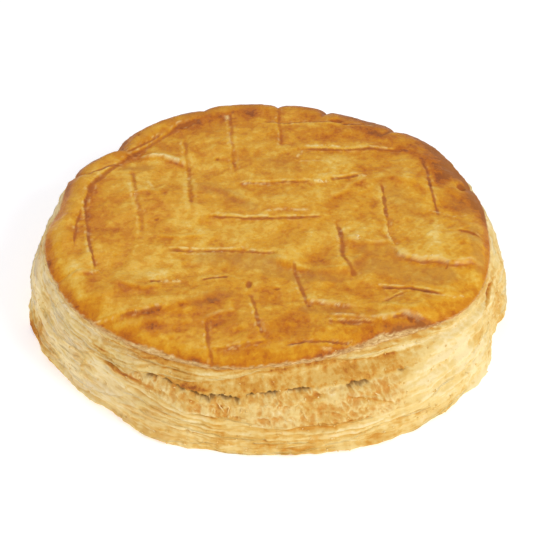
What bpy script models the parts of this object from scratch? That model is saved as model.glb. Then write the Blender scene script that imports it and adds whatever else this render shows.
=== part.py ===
"""A galette des rois: a round, low cake of puff pastry, baked whole and not yet cut.

The cake is one baked piece. A turned drum is given the cake's wavy outline, its swollen side
and its blistered crust, and then the knife scores and the split in the side are cut away.
Lengths in the lists are millimetres, and angles are degrees from the +X side, seen from above.
"""

import math

import bpy
import numpy as np
from mathutils import Vector, noise

MM = 0.001

# Main sizes
RIM_RADIUS = 99.0
FOOT_RADIUS = 109.5
RIM_HEIGHT = 37.0
CROWN = 1.6
SHOULDER_DROP = 3.4
SHOULDER_FROM = 0.88
SIDE_FULLNESS = 2.3

# The drum that everything is shaped from
STEPS_ROUND = 96
TOP_RINGS = (0.09, 0.18, 0.27, 0.35, 0.43, 0.5, 0.57, 0.64, 0.7, 0.76, 0.81)
TOP_RINGS += (0.85, 0.89, 0.92, 0.95, 0.98, 1.0)
SIDE_ROWS = 23

# Where the rim and the foot leave a true circle: angle, amount, reach in degrees
RIM_LOBES = (
    (45, 4.0, 24),
    (103, 4.0, 20),
    (124, 2.0, 10),
    (141, -4.0, 5),
    (156, 2.4, 6),
    (172, -3.0, 7.5),
    (192, 1.6, 10),
    (222, 1.2, 16),
    (276, -3.0, 16),
    (297, -6.0, 13),
    (331, 3.2, 15),
)
FOOT_LOBES = (
    (0, -1.6, 14),
    (150, -1.0, 22),
    (180, -1.4, 14),
    (218, -2.2, 14),
    (247, 1.6, 12),
    (300, 3.6, 26),
    (322, 1.6, 9),
    (340, -2.8, 8),
    (352, 1.2, 6),
)
RIM_RISE = ((95, 1.8, 45), (205, -0.6, 25), (280, 1.4, 22), (340, 0.6, 25))

# Low blisters in the glazed crust: x, y, radius, height
BLISTERS = (
    (-70, -52, 15, 1.5),
    (-42, -60, 17, 1.4),
    (-2, -74, 15, 1.3),
    (27, -74, 14, 1.0),
    (62, -62, 14, 1.3),
    (76, -18, 18, 1.7),
    (40, -14, 15, 0.9),
    (4, 10, 19, 0.9),
    (-48, 14, 18, 1.0),
    (-74, -20, 11, 0.9),
    (30, 42, 17, 0.9),
    (-26, 58, 17, 0.8),
    (66, 30, 15, 1.0),
    (14, -38, 12, -0.9),
    (-18, -36, 16, -0.8),
    (36, -52, 12, -0.8),
)

# The knife scores: width, depth, then the points that the blade went through
SCORES = (
    (1.9, 1.3, (-18, 85), (-17, 60), (-15, 36)),
    (2.9, 1.5, (-40, 65), (-37, 38), (-35, 11)),
    (1.9, 1.2, (-64, 35), (-60, 12), (-54, -14)),
    (1.7, 1.2, (5, 96), (6, 78), (7, 60)),
    (1.1, 1.3, (74, 49), (77, 24), (78, 2)),
    (1.9, 1.5, (53, 27), (53, 2), (55, -24)),
    (2.3, 2.0, (31, -5), (33, -19), (33, -30), (38, -43)),
    (1.9, 1.5, (12, -32), (14, -45), (17, -63)),
    (2.0, 1.6, (-8, -47), (-6, -60), (-3, -82)),
    (1.9, 1.6, (-25, -71), (-23, -84), (-22, -95)),
    (1.7, 1.3, (17, 54), (40, 56), (66, 56)),
    (1.6, 1.2, (-14, 27), (14, 27), (33, 30), (46, 34)),
    (2.0, 1.4, (-25, 1), (-4, -1), (24, 1)),
    (1.7, 1.3, (-43, -24), (-26, -23), (3, -26)),
    (2.0, 1.3, (-49, -46), (-25, -45), (-17, -43)),
    (1.5, 1.3, (-74, -69), (-52, -66), (-37, -63)),
    (1.2, 1.0, (-22, -88), (4, -86)),
    (1.8, 1.3, (58, -25), (78, -35), (94, -34)),
    (1.2, 1.0, (83, -11), (94, -13)),
    (1.7, 1.4, (47, -49), (74, -54), (87, -54)),
    (1.3, 1.1, (17, -86), (34, -84)),
)

# The crease that parts the puffed border from the middle, round the back and the left
BORDER_CREASE = (
    (2.6, 2.0, (-24, 88), (-45, 73), (-65, 51), (-76, 38), (-83, 18), (-84, 2), (-80, -13), (-74, -36)),
    (1.8, 1.3, (-2, 81), (30, 80), (55, 79)),
)

# Openings between the sheets of the side: from angle, to angle, height at each end, gape, depth
SPLITS = (
    (229, 306, 22.5, 27.0, 3.0, 6.0),
    (246, 262, 20.5, 18.0, 1.5, 3.0),
    (252, 296, 16.8, 9.5, 1.2, 2.5),
    (199, 219, 31.0, 30.5, 1.4, 2.5),
)

CRUST_COLOUR = (0.66, 0.33, 0.07)


def clear_scene():
    """Leaves the file with no object in it."""
    for obj in list(bpy.data.objects):
        bpy.data.objects.remove(obj, do_unlink=True)


def lobes(angle, entries):
    """The sum of soft swellings at this angle round the cake."""
    total = 0.0
    for centre, amount, reach in entries:
        away = (angle - centre + 180.0) % 360.0 - 180.0
        total += amount * math.exp(-((away / reach) ** 2))
    return total


def rough(x, y, z, size):
    """A smooth random value from about -1 to 1, changing over this length."""
    return noise.noise(Vector((x / size, y / size, z / size)))


def angle_of(x, y):
    return math.degrees(math.atan2(y, x)) % 360.0


def rim_radius(angle):
    turn = math.radians(angle)
    ripple = 1.6 * rough(3.0 * math.cos(turn), 3.0 * math.sin(turn), 5.0, 1.0)
    return RIM_RADIUS + lobes(angle, RIM_LOBES) + ripple


def foot_radius(angle):
    turn = math.radians(angle)
    ripple = 1.5 * rough(4.0 * math.cos(turn), 4.0 * math.sin(turn), 9.0, 1.0)
    return FOOT_RADIUS + lobes(angle, FOOT_LOBES) + ripple


def rim_height(angle):
    return RIM_HEIGHT + lobes(angle, RIM_RISE)


def blister_height(x, y):
    total = 0.0
    for centre_x, centre_y, radius, height in BLISTERS:
        away = ((x - centre_x) ** 2 + (y - centre_y) ** 2) / radius**2
        total += height * math.exp(-1.4 * away)
    return total


def border_roll(share, angle):
    """The border puffs into a low roll round the back and the left."""
    strength = 1.5 * math.exp(-(((angle - 140.0) / 62.0) ** 4))
    return strength * math.exp(-(((share - 0.925) / 0.05) ** 2))


def crust_height(x, y):
    """How high the glazed crust stands at this place, in millimetres."""
    angle = angle_of(x, y)
    share = min(1.0, math.hypot(x, y) / rim_radius(angle))
    over = max(0.0, (share - SHOULDER_FROM) / (1.0 - SHOULDER_FROM))
    height = RIM_HEIGHT + (rim_height(angle) - RIM_HEIGHT) * share**2
    height += CROWN * (1.0 - share**2) - SHOULDER_DROP * over**2
    uneven = 0.7 * rough(x, y, 2.0, 30.0) + 0.35 * rough(x, y, 7.0, 11.0)
    return height + blister_height(x, y) + border_roll(share, angle) + uneven


def side_relief(angle, height, top):
    """How far the sheets of the side stand out or lie back at this place."""
    turn = math.radians(angle)
    around = (110.0 * math.cos(turn), 110.0 * math.sin(turn))
    sway = 2.4 * rough(around[0], around[1], 0.0, 42.0)
    sheet = math.sin(2.0 * math.pi * (height + sway) / 4.4)
    lumps = 1.5 * rough(around[0], around[1], height * 1.6, 19.0)
    fine = 0.7 * rough(around[0], around[1], height * 4.0, 9.0)
    fade = min(1.0, (top - height) / 3.0, height / 2.0 + 0.25)
    return fade * (0.55 * sheet + lumps + fine)


def side_radius(angle, height):
    """How far out the side stands at this angle and height, in millimetres."""
    rim = rim_radius(angle)
    turn = math.radians(angle)
    edge = crust_height(rim * math.cos(turn), rim * math.sin(turn))
    down = 1.0 - min(1.0, height / edge) ** SIDE_FULLNESS
    under_crust = 1.1 * math.exp(-(((edge - 3.2 - height) / 1.5) ** 2))
    bottom_sheet = 1.1 * math.exp(-(((height - 1.6) / 1.3) ** 2))
    radius = rim + (foot_radius(angle) - rim) * down
    return radius - under_crust + bottom_sheet + side_relief(angle, height, edge)


def turned_drum():
    """A plain drum of one unit's height, turned from its outline by the Screw tool."""
    outline = [(0.0, 1.0)]
    outline += [(share, 1.0) for share in TOP_RINGS]
    outline += [(1.0, 1.0 - row / SIDE_ROWS) for row in range(1, SIDE_ROWS + 1)]
    outline += [(0.5, 0.0), (0.0, 0.0)]
    mesh = bpy.data.meshes.new("drum outline")
    edges = [(i, i + 1) for i in range(len(outline) - 1)]
    mesh.from_pydata([(x, 0.0, z) for x, z in outline], edges, [])
    drum = bpy.data.objects.new("galette", mesh)
    screw = drum.modifiers.new("Turned", "SCREW")
    screw.steps = STEPS_ROUND
    screw.render_steps = STEPS_ROUND
    screw.use_merge_vertices = True
    screw.merge_threshold = 0.00005
    screw.use_smooth_shade = False
    return drum


def shaped(point):
    """Where a point of the plain drum goes on the cake, in metres."""
    share = math.hypot(point.x, point.y)
    angle = angle_of(point.x, point.y)
    across, along = (point.x / share, point.y / share) if share > 1e-6 else (1.0, 0.0)
    if point.z > 0.9999:
        radius = share * rim_radius(angle)
        height = crust_height(radius * across, radius * along)
    elif share > 0.9999:
        rim = rim_radius(angle)
        height = point.z * crust_height(rim * across, rim * along)
        radius = side_radius(angle, height)
    else:
        radius = share * FOOT_RADIUS
        height = 0.0
    return Vector((radius * across, radius * along, height)) * MM


def apply_modifiers(obj):
    """Turns the object's modifiers into plain mesh."""
    graph = bpy.context.evaluated_depsgraph_get()
    finished = bpy.data.meshes.new_from_object(obj.evaluated_get(graph))
    obj.modifiers.clear()
    obj.data = finished


def knife_path(points, spacing=5.0):
    """Places along the blade's path, a few millimetres apart."""
    corners = [np.array(p, float) for p in points]
    lengths = [float(np.linalg.norm(b - a)) for a, b in zip(corners, corners[1:])]
    count = max(3, int(sum(lengths) / spacing))
    ends = np.concatenate([[0.0], np.cumsum(lengths)])
    at = np.linspace(0.0, ends[-1], count + 1)
    return np.stack([np.interp(at, ends, [c[k] for c in corners]) for k in range(2)], axis=1)


def tube(name, rings, collection):
    """A closed solid through rings of the same number of points."""
    size = len(rings[0])
    points = [tuple(v * MM for v in p) for ring in rings for p in ring]
    faces = [tuple(range(size))[::-1]]
    for start in range(0, size * (len(rings) - 1), size):
        for k in range(size):
            after = (k + 1) % size
            faces.append((start + k, start + after, start + size + after, start + size + k))
    faces.append(tuple(range(size * (len(rings) - 1), size * len(rings))))
    mesh = bpy.data.meshes.new(name)
    mesh.from_pydata(points, [], faces)
    if sum(p.normal.dot(p.center - mesh.vertices[0].co) * p.area for p in mesh.polygons) < 0:
        mesh.flip_normals()
    cutter = bpy.data.objects.new(name, mesh)
    cutter.display_type = "WIRE"
    cutter.hide_render = True
    collection.objects.link(cutter)


def score_cutter(name, score, collection):
    """A V-shaped blade that follows the crust, shallow at both its ends."""
    width, depth = score[:2]
    path = knife_path(score[2:])
    along = np.gradient(path, axis=0)
    along /= np.linalg.norm(along, axis=1)[:, None]
    rings = []
    for i, ((x, y), (dx, dy)) in enumerate(zip(path, along)):
        bite = math.sin(math.pi * (i + 0.35) / (len(path) - 0.3)) ** 0.5
        wander = 0.5 * rough(x, y, 3.0, 8.0)
        x, y = x - dy * wander, y + dx * wander
        floor = crust_height(x, y)
        lift = 1.5
        half = 0.5 * width * (0.55 + 0.45 * bite) * (depth + lift) / depth
        left = (x - dy * half, y + dx * half, floor + lift)
        right = (x + dy * half, y - dx * half, floor + lift)
        rings.append((left, (x, y, floor - depth * (0.4 + 0.6 * bite)), right))
    tube(name, rings, collection)


def split_cutter(name, split, collection):
    """A ragged wedge that opens the side between two sheets."""
    start, end, height_start, height_end, gape, depth = split
    count = int((end - start) / 2.6)
    rings = []
    for i in range(count + 1):
        part = i / count
        angle = start + (end - start) * part
        turn = math.radians(angle)
        open_here = math.sin(math.pi * (part * 0.9 + 0.05)) ** 0.6
        ragged = 1.0 + 0.7 * rough(angle, 0.0, 4.0, 5.0)
        middle = height_start + (height_end - height_start) * part + 1.1 * rough(angle, 3.0, 1.0, 9.0)
        half = max(0.3, 0.5 * gape * open_here * ragged)
        skin = side_radius(angle, middle)
        inner = skin - depth * (0.35 + 0.65 * open_here)
        outer = skin + 4
        mouth = ((outer, middle - 2.2 * half), (outer, middle + 2.2 * half))
        back = ((inner, middle + 0.4 * half), (inner, middle - 0.4 * half))
        across, along = math.cos(turn), math.sin(turn)
        rings.append([(radius * across, radius * along, height) for radius, height in mouth + back])
    tube(name, rings, collection)


def centred(obj):
    """Puts the middle of the cake's box over the origin, with its base at zero."""
    points = np.array([v.co for v in obj.data.vertices])
    low, high = points.min(axis=0), points.max(axis=0)
    shift = Vector((-(low[0] + high[0]) / 2, -(low[1] + high[1]) / 2, -low[2]))
    for vertex in obj.data.vertices:
        vertex.co += shift


def baked_crust():
    material = bpy.data.materials.new("Baked pastry")
    material.use_nodes = True
    shader = material.node_tree.nodes["Principled BSDF"]
    shader.inputs["Base Color"].default_value = (*CRUST_COLOUR, 1.0)
    shader.inputs["Roughness"].default_value = 0.5
    shader.inputs["Metallic"].default_value = 0.0
    return material


def main():
    clear_scene()
    scene = bpy.context.scene
    cake = bpy.data.collections.new("Galette des rois")
    cutters = bpy.data.collections.new("Cutters")
    scene.collection.children.link(cake)
    scene.collection.children.link(cutters)
    cutters.hide_render = True
    galette = turned_drum()
    cake.objects.link(galette)
    apply_modifiers(galette)
    for vertex in galette.data.vertices:
        vertex.co = shaped(vertex.co)
    for i, score in enumerate(SCORES + BORDER_CREASE):
        score_cutter(f"score {i}", score, cutters)
    for i, split in enumerate(SPLITS):
        split_cutter(f"split {i}", split, cutters)
    cut = galette.modifiers.new("Scores and splits", "BOOLEAN")
    cut.operation = "DIFFERENCE"
    cut.solver = "EXACT"
    cut.operand_type = "COLLECTION"
    cut.collection = cutters
    cut.use_self = True
    apply_modifiers(galette)
    for cutter in list(cutters.objects):
        bpy.data.objects.remove(cutter, do_unlink=True)
    centred(galette)
    galette.data.shade_smooth()
    galette.data.materials.clear()
    galette.data.materials.append(baked_crust())


main()
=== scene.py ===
# %% [markdown]
# # A galette des rois
#
# A galette is two rounds of puff pastry with almond cream between them. The top is brushed
# with egg, scored with the tip of a knife and baked until the butter between the leaves turns
# to steam and lifts them. What shows is a glossy golden crust over a pale, flaky side.
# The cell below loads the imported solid, which fixes the size and the place of everything.

# %% Load the frame
import math

import bpy
import numpy as np
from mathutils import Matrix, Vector, noise


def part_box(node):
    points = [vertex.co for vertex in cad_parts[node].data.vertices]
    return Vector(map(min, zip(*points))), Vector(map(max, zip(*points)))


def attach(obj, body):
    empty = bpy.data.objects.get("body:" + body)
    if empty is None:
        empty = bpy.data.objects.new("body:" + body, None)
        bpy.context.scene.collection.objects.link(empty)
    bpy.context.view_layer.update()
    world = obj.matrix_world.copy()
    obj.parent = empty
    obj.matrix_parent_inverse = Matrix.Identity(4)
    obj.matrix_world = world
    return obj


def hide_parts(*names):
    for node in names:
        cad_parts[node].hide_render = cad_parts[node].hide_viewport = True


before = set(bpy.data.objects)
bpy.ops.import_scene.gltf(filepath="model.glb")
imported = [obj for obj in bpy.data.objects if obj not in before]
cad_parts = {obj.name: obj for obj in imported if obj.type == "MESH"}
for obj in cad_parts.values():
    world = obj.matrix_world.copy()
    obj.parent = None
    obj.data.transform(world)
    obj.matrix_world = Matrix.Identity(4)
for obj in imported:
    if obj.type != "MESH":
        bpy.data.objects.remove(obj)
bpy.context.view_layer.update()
MM = 0.001
low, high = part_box("galette")
print("cake box in mm:", [round((b - a) / MM, 1) for a, b in zip(low, high)])

# %% [markdown]
# ## The cake's proportions
#
# These are the sizes a baker would give: how wide the crust and the foot are, how high the
# rim stands, and where the outline leaves a true circle. A few soft swellings round the edge
# describe a hand-cut, unevenly risen cake better than a long list of outline points.

# %% Sizes in millimetres, angles in degrees from +X
RIM_RADIUS = 99.0
FOOT_RADIUS = 109.5
RIM_HEIGHT = 37.0
CROWN = 1.6
SHOULDER_DROP = 3.4
SHOULDER_FROM = 0.88
SIDE_FULLNESS = 2.3
SIDE_RING = 110.0
ARC = math.radians(SIDE_RING)

RIM_LOBES = (
    (45, 4.0, 24),
    (103, 4.0, 20),
    (124, 2.0, 10),
    (141, -4.0, 5),
    (156, 2.4, 6),
    (172, -3.0, 7.5),
    (192, 1.6, 10),
    (222, 1.2, 16),
    (276, -3.0, 16),
    (297, -6.0, 13),
    (331, 3.2, 15),
)
FOOT_LOBES = (
    (0, -1.6, 14),
    (150, -1.0, 22),
    (180, -1.4, 14),
    (218, -2.2, 14),
    (247, 1.6, 12),
    (300, 3.6, 26),
    (322, 1.6, 9),
    (340, -2.8, 8),
    (352, 1.2, 6),
)
RIM_RISE = ((95, 1.8, 45), (205, -0.6, 25), (280, 1.4, 22), (340, 0.6, 25))
RIM_NOTCHES = (
    (157, 1.8, 1.5),
    (141, 1.2, 1.5),
    (109, 1.4, 1.8),
    (87, 1.3, 0.9),
    (72.5, 1.6, 1.2),
    (51, 2.2, 1.5),
    (17, 0.9, 1.2),
    (204, 0.9, 1.4),
    (318, 0.7, 1.4),
)

BLISTERS = (
    (-70, -52, 15, 1.5),
    (-42, -60, 17, 1.4),
    (-2, -74, 15, 1.3),
    (27, -74, 14, 1.0),
    (62, -62, 14, 1.3),
    (76, -18, 18, 1.7),
    (40, -14, 15, 0.9),
    (4, 10, 19, 0.9),
    (-48, 14, 18, 1.0),
    (-74, -20, 11, 0.9),
    (30, 42, 17, 0.9),
    (-26, 58, 17, 0.8),
    (66, 30, 15, 1.0),
    (14, -38, 12, -0.9),
    (-18, -36, 16, -0.8),
    (36, -52, 12, -0.8),
)

# %% [markdown]
# ## Two kinds of roughness
#
# Broad swellings use Blender's own noise, one place at a time. The fine crumb needs hundreds
# of thousands of values, so a small gradient noise in numpy makes them all at once. Both give
# the same answer on every run, so the cake never changes.

# %% Noise helpers
def broad(x, y, z, size):
    """Blender's smooth noise at many places, from about -1 to 1."""
    places = np.stack(np.broadcast_arrays(x, y, z), axis=-1).reshape(-1, 3) / size
    values = np.fromiter((noise.noise(Vector(p)) for p in places), float, len(places))
    return values.reshape(np.broadcast(x, y, z).shape)


def grain(x, y, z=0.0, size=1.0, seed=0):
    """Fine gradient noise at many places at once, from about -1 to 1."""
    places = np.stack(np.broadcast_arrays(x, y, z), axis=-1) / size + 1000.0 + 31.7 * seed
    cell = np.floor(places).astype(np.int64)
    part = places - cell
    ease = part**3 * (part * (6.0 * part - 15.0) + 10.0)
    total = np.zeros(places.shape[:-1])
    for corner in np.ndindex(2, 2, 2):
        at = cell + corner
        mixed = (at[..., 0] * 73856093) ^ (at[..., 1] * 19349663) ^ (at[..., 2] * 83492791)
        mixed = ((mixed ^ (mixed >> 13)) * 1274126177) & 0x7FFFFFFF
        mixed ^= mixed >> 15
        slope = np.stack([(mixed >> shift & 1023) / 511.5 - 1.0 for shift in (0, 10, 20)], axis=-1)
        weight = np.prod(np.where(corner, ease, 1.0 - ease), axis=-1)
        total += weight * np.sum(slope * (part - corner), axis=-1)
    return 1.5 * total


def bump(value, width):
    """A soft bell of height 1 where the value is 0."""
    return np.exp(-((value / width) ** 2))


def step(low_end, high_end, value):
    """A smooth climb from 0 to 1 between two values."""
    share = np.clip((value - low_end) / (high_end - low_end), 0.0, 1.0)
    return share * share * (3.0 - 2.0 * share)


def ends(share, reach=0.1):
    """1 along a line and 0 at both of its ends."""
    return step(0.0, reach, share) * step(1.0, 1.0 - reach, share)


def turn_between(angle, centre):
    return (angle - centre + 180.0) % 360.0 - 180.0


# %% The outline of the rim and the foot
def near_angle(angle, centre, reach):
    """A soft bell round the cake, 1 at the centre's angle."""
    return bump(turn_between(angle, centre), reach)


def lobes(angle, entries):
    """The sum of soft swellings at these angles round the cake."""
    total = np.zeros(np.shape(angle))
    for centre, amount, reach in entries:
        total += amount * near_angle(angle, centre, reach)
    return total


def notches(angle):
    """Where the folded rim is pinched, from 0 to the depth of each pinch."""
    total = np.zeros(np.shape(angle))
    for centre, depth, reach in RIM_NOTCHES:
        total += depth * np.exp(-np.abs(turn_between(angle, centre)) / reach)
    return total


def rim_radius(angle):
    turn = np.radians(angle)
    ripple = 1.6 * broad(3.0 * np.cos(turn), 3.0 * np.sin(turn), 5.0, 1.0)
    return RIM_RADIUS + lobes(angle, RIM_LOBES) + ripple - notches(angle)


def foot_radius(angle):
    turn = np.radians(angle)
    ripple = 1.5 * broad(4.0 * np.cos(turn), 4.0 * np.sin(turn), 9.0, 1.0)
    return FOOT_RADIUS + lobes(angle, FOOT_LOBES) + ripple


def angle_of(x, y):
    return np.degrees(np.arctan2(y, x)) % 360.0


def crust_height(x, y):
    """How high the glazed crust stands before any knife touches it."""
    angle = angle_of(x, y)
    share = np.minimum(1.0, np.hypot(x, y) / rim_radius(angle))
    over = np.maximum(0.0, (share - SHOULDER_FROM) / (1.0 - SHOULDER_FROM))
    height = RIM_HEIGHT + lobes(angle, RIM_RISE) * share**2
    height += CROWN * (1.0 - share**2) - SHOULDER_DROP * over**2
    height += 0.7 * broad(x, y, 2.0, 30.0) + 0.35 * broad(x, y, 7.0, 11.0)
    for centre_x, centre_y, radius, rise in BLISTERS:
        away = ((x - centre_x) ** 2 + (y - centre_y) ** 2) / radius**2
        height += rise * np.exp(-1.4 * away)
    roll = 1.8 * np.exp(-(((angle - 140.0) / 62.0) ** 4)) * bump(share - 0.925, 0.05)
    return height + roll - 0.7 * notches(angle) * step(0.86, 0.97, share)


ring = np.arange(0.0, 360.0, 5.0)
print("rim from", rim_radius(ring).min().round(1), "to", rim_radius(ring).max().round(1), "mm")

# %% [markdown]
# ## Nodes as expressions
#
# A small class wraps a socket of a node tree, so that maths on it reads like ordinary maths:
# adding two wrapped sockets adds a Math node. Every other node comes from one method, for
# materials and for Geometry Nodes alike.

# %% The socket helper
class Wire:
    """A socket of a node tree that can be added, multiplied and compared."""

    def __init__(self, tree, socket=None):
        self.tree, self.socket = tree, socket

    def node(self, kind, output=0, settings=None, **inputs):
        """Adds a node. An input is named by its socket, or as i0, i1 where names repeat."""
        made = self.tree.nodes.new(kind)
        for key, value in (settings or {}).items():
            setattr(made, key, value)
        for key, value in inputs.items():
            by_number = key[0] == "i" and key[1:].isdigit()
            socket = made.inputs[int(key[1:]) if by_number else key.replace("_", " ")]
            if isinstance(value, Wire):
                self.tree.links.new(value.socket, socket)
            else:
                socket.default_value = value
        return Wire(self.tree, made.outputs[output])

    def maths(self, operation, a, b=0.0, clamp=False):
        settings = {"operation": operation, "use_clamp": clamp}
        return self.node("ShaderNodeMath", settings=settings, i0=a, i1=b)

    def __add__(self, other):
        return self.maths("ADD", self, other)

    def __sub__(self, other):
        return self.maths("SUBTRACT", self, other)

    def __rsub__(self, other):
        return self.maths("SUBTRACT", other, self)

    def __mul__(self, other):
        return self.maths("MULTIPLY", self, other)

    __radd__ = __add__
    __rmul__ = __mul__

    def clamped(self):
        return self.maths("ADD", self, 0.0, clamp=True)

    def ramp(self, from_value, to_value):
        """0 at the first value and 1 at the second, smoothly."""
        settings = {"interpolation_type": "SMOOTHSTEP"}
        limits = {"From_Min": from_value, "From_Max": to_value}
        return self.node("ShaderNodeMapRange", settings=settings, Value=self, **limits)

    def mark(self, name):
        """One of the values written on the mesh's points."""
        return self.node("ShaderNodeAttribute", output=2, settings={"attribute_name": name})

    def cloud(self, per_metre, detail=3.0, rough=0.55, stretch=(1.0, 1.0, 1.0), warp=0.0):
        """Noise from 0 to 1 over the piece, squeezed along each axis by the stretch."""
        coordinates = self.node("ShaderNodeTexCoord", output=3)
        place = self.node("ShaderNodeMapping", Vector=coordinates, Scale=stretch)
        sizes = {"Scale": per_metre, "Detail": detail, "Roughness": rough, "Distortion": warp}
        return self.node("ShaderNodeTexNoise", Vector=place, **sizes)

    def blend(self, amount, first, second):
        """The first colour where the amount is 0 and the second where it is 1."""
        made = self.tree.nodes.new("ShaderNodeMix")
        made.data_type = "RGBA"
        for socket, value in ((made.inputs[0], amount), (made.inputs[6], first), (made.inputs[7], second)):
            if isinstance(value, Wire):
                self.tree.links.new(value.socket, socket)
            else:
                socket.default_value = value if isinstance(value, float) else (*value, 1.0)
        return Wire(self.tree, made.outputs[2])

    def shades(self, value, *stops):
        """A colour for each height of a value, from (height, red, green, blue) stops."""
        made = self.tree.nodes.new("ShaderNodeValToRGB")
        ramp = made.color_ramp
        ramp.interpolation = "EASE"
        while len(ramp.elements) < len(stops):
            ramp.elements.new(1.0)
        for element, (height, *colour) in zip(ramp.elements, stops):
            element.position = height
            element.color = (*linear(*colour), 1.0)
        self.tree.links.new(value.socket, made.inputs[0])
        return Wire(self.tree, made.outputs[0])


def linear(red, green, blue):
    """A colour as picked on a screen, from 0 to 255, in the renderer's linear values."""
    scaled = [channel / 255.0 for channel in (red, green, blue)]
    return tuple(c / 12.92 if c <= 0.04045 else ((c + 0.055) / 1.055) ** 2.4 for c in scaled)


def start_material(name, **constants):
    """A Principled material, its shader node, and a Wire to write with."""
    material = bpy.data.materials.new(name)
    material.use_nodes = True
    shader = material.node_tree.nodes["Principled BSDF"]
    for key, value in constants.items():
        shader.inputs[key.replace("_", " ")].default_value = value
    return material, shader, Wire(material.node_tree)


def finish(shader, wire, colour, rough, relief, strength, depth):
    """Joins the three things that change over a surface to its shader."""
    bumped = wire.node("ShaderNodeBump", Strength=strength, Distance=depth, Height=relief)
    for value, name in ((colour, "Base Color"), (rough.clamped(), "Roughness"), (bumped, "Normal")):
        wire.tree.links.new(value.socket, shader.inputs[name])


# %% [markdown]
# ## The egg-washed crust
#
# Egg wash bakes to a thin, golden, slightly glossy skin, straw where it is thin and amber
# where the crust stands nearer the heat. The mesh will carry marks that say where the crust is
# brown, cut, raised, torn or dull, and noise adds the blotches and brush streaks between.
# Some marks carry painted light and shade: places that stand above their neighbours are painted
# paler and low places darker, raised lips get a painted highlight, and the steep fronts of
# folds, the matt slopes and the back rim get painted shade.
# The gloss is a thin coat over a duller base.

# %% Crust material
def glazed_material():
    material, shader, wire = start_material(
        "egg_washed_crust", Coat_Weight=0.10, Coat_Roughness=0.2, Specular_IOR_Level=0.2
    )
    blotches = wire.cloud(70.0, 4.0, 0.62, warp=0.6)
    mottle = wire.cloud(230.0, 3.0, 0.62, (1.0, 0.7, 1.0), 0.4)
    specks = wire.cloud(700.0, 3.0, 0.65)
    brown = wire.mark("browning_and_painted_light") + (blotches - 0.5) * 0.48 + (mottle - 0.5) * 0.58 + (specks - 0.5) * 0.44
    # Places that stand above their neighbours are painted paler and low places darker: painted light and
    # shade.
    brown = brown - (wire.mark("painted_crest_light") - 0.5) * 0.42
    colour = wire.shades(
        brown.clamped(),
        (0.0, 247, 212, 118),
        (0.25, 238, 186, 66),
        (0.45, 227, 161, 32),
        (0.65, 213, 135, 12),
        (0.85, 194, 108, 10),
        (1.0, 156, 82, 22),
    )
    # Matt places are painted a darker tan: painted shade.
    dull = (wire.mark("matt_and_shaded") * mottle).clamped()
    colour = wire.blend(dull, colour, linear(190, 128, 56))
    rust = (wire.mark("cut").ramp(0.08, 0.6) * (mottle * 0.6 + 0.55)).clamped()
    colour = wire.blend(rust, colour, linear(180, 100, 30))
    char = (wire.mark("cut").ramp(0.6, 1.0) * 0.65).clamped()
    colour = wire.blend(char, colour, linear(128, 68, 26))
    # Lips and light edges are painted pale: partly pale dough and glaze, partly painted highlight.
    pale = (wire.mark("lip") * (specks * 0.9 + mottle * 0.9)).clamped()
    colour = wire.blend(pale, colour, linear(255, 232, 162))
    flakes = (wire.mark("torn").ramp(0.25, 0.8) * 0.8).clamped()
    colour = wire.blend(flakes, colour, linear(250, 230, 178))
    layers = wire.cloud(500.0, 4.0, 0.7, (0.5, 1.0, 2.0), 0.8)
    bare = wire.shades(layers, (0.34, 240, 210, 148), (0.48, 218, 176, 108), (0.64, 180, 130, 72))
    colour = wire.blend((wire.mark("edge") * 0.95).clamped(), colour, bare)
    rough = 0.44 + (specks - 0.5) * 0.35 + wire.mark("matt_and_shaded") * 0.2
    rough = rough + wire.mark("torn") * 0.3 + wire.mark("cut") * 0.15
    rough = rough + (wire.mark("browning_and_painted_light") - 0.6) * 0.3
    relief = specks * 0.6 + wire.cloud(1300.0, 2.0) * 0.2 + mottle * 0.5
    finish(shader, wire, colour, rough, relief, 0.85, 0.0006)
    return material


# %% [markdown]
# ## The dry leaves
#
# The side never saw the egg. Its leaves are cream, honey where butter has fried them, amber in
# the web's hollows and dark brown inside the openings, where the dark colour is painted shade.
# Leaves that stand out are painted paler and the crevices between them browner, and the left
# side a greyer cream: painted light and shade. Noise squeezed in height gives lines that run
# round the cake with the leaves. The crumbs and threads share these colours, a little paler, so
# that they stand out against the hollows behind them.

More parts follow.
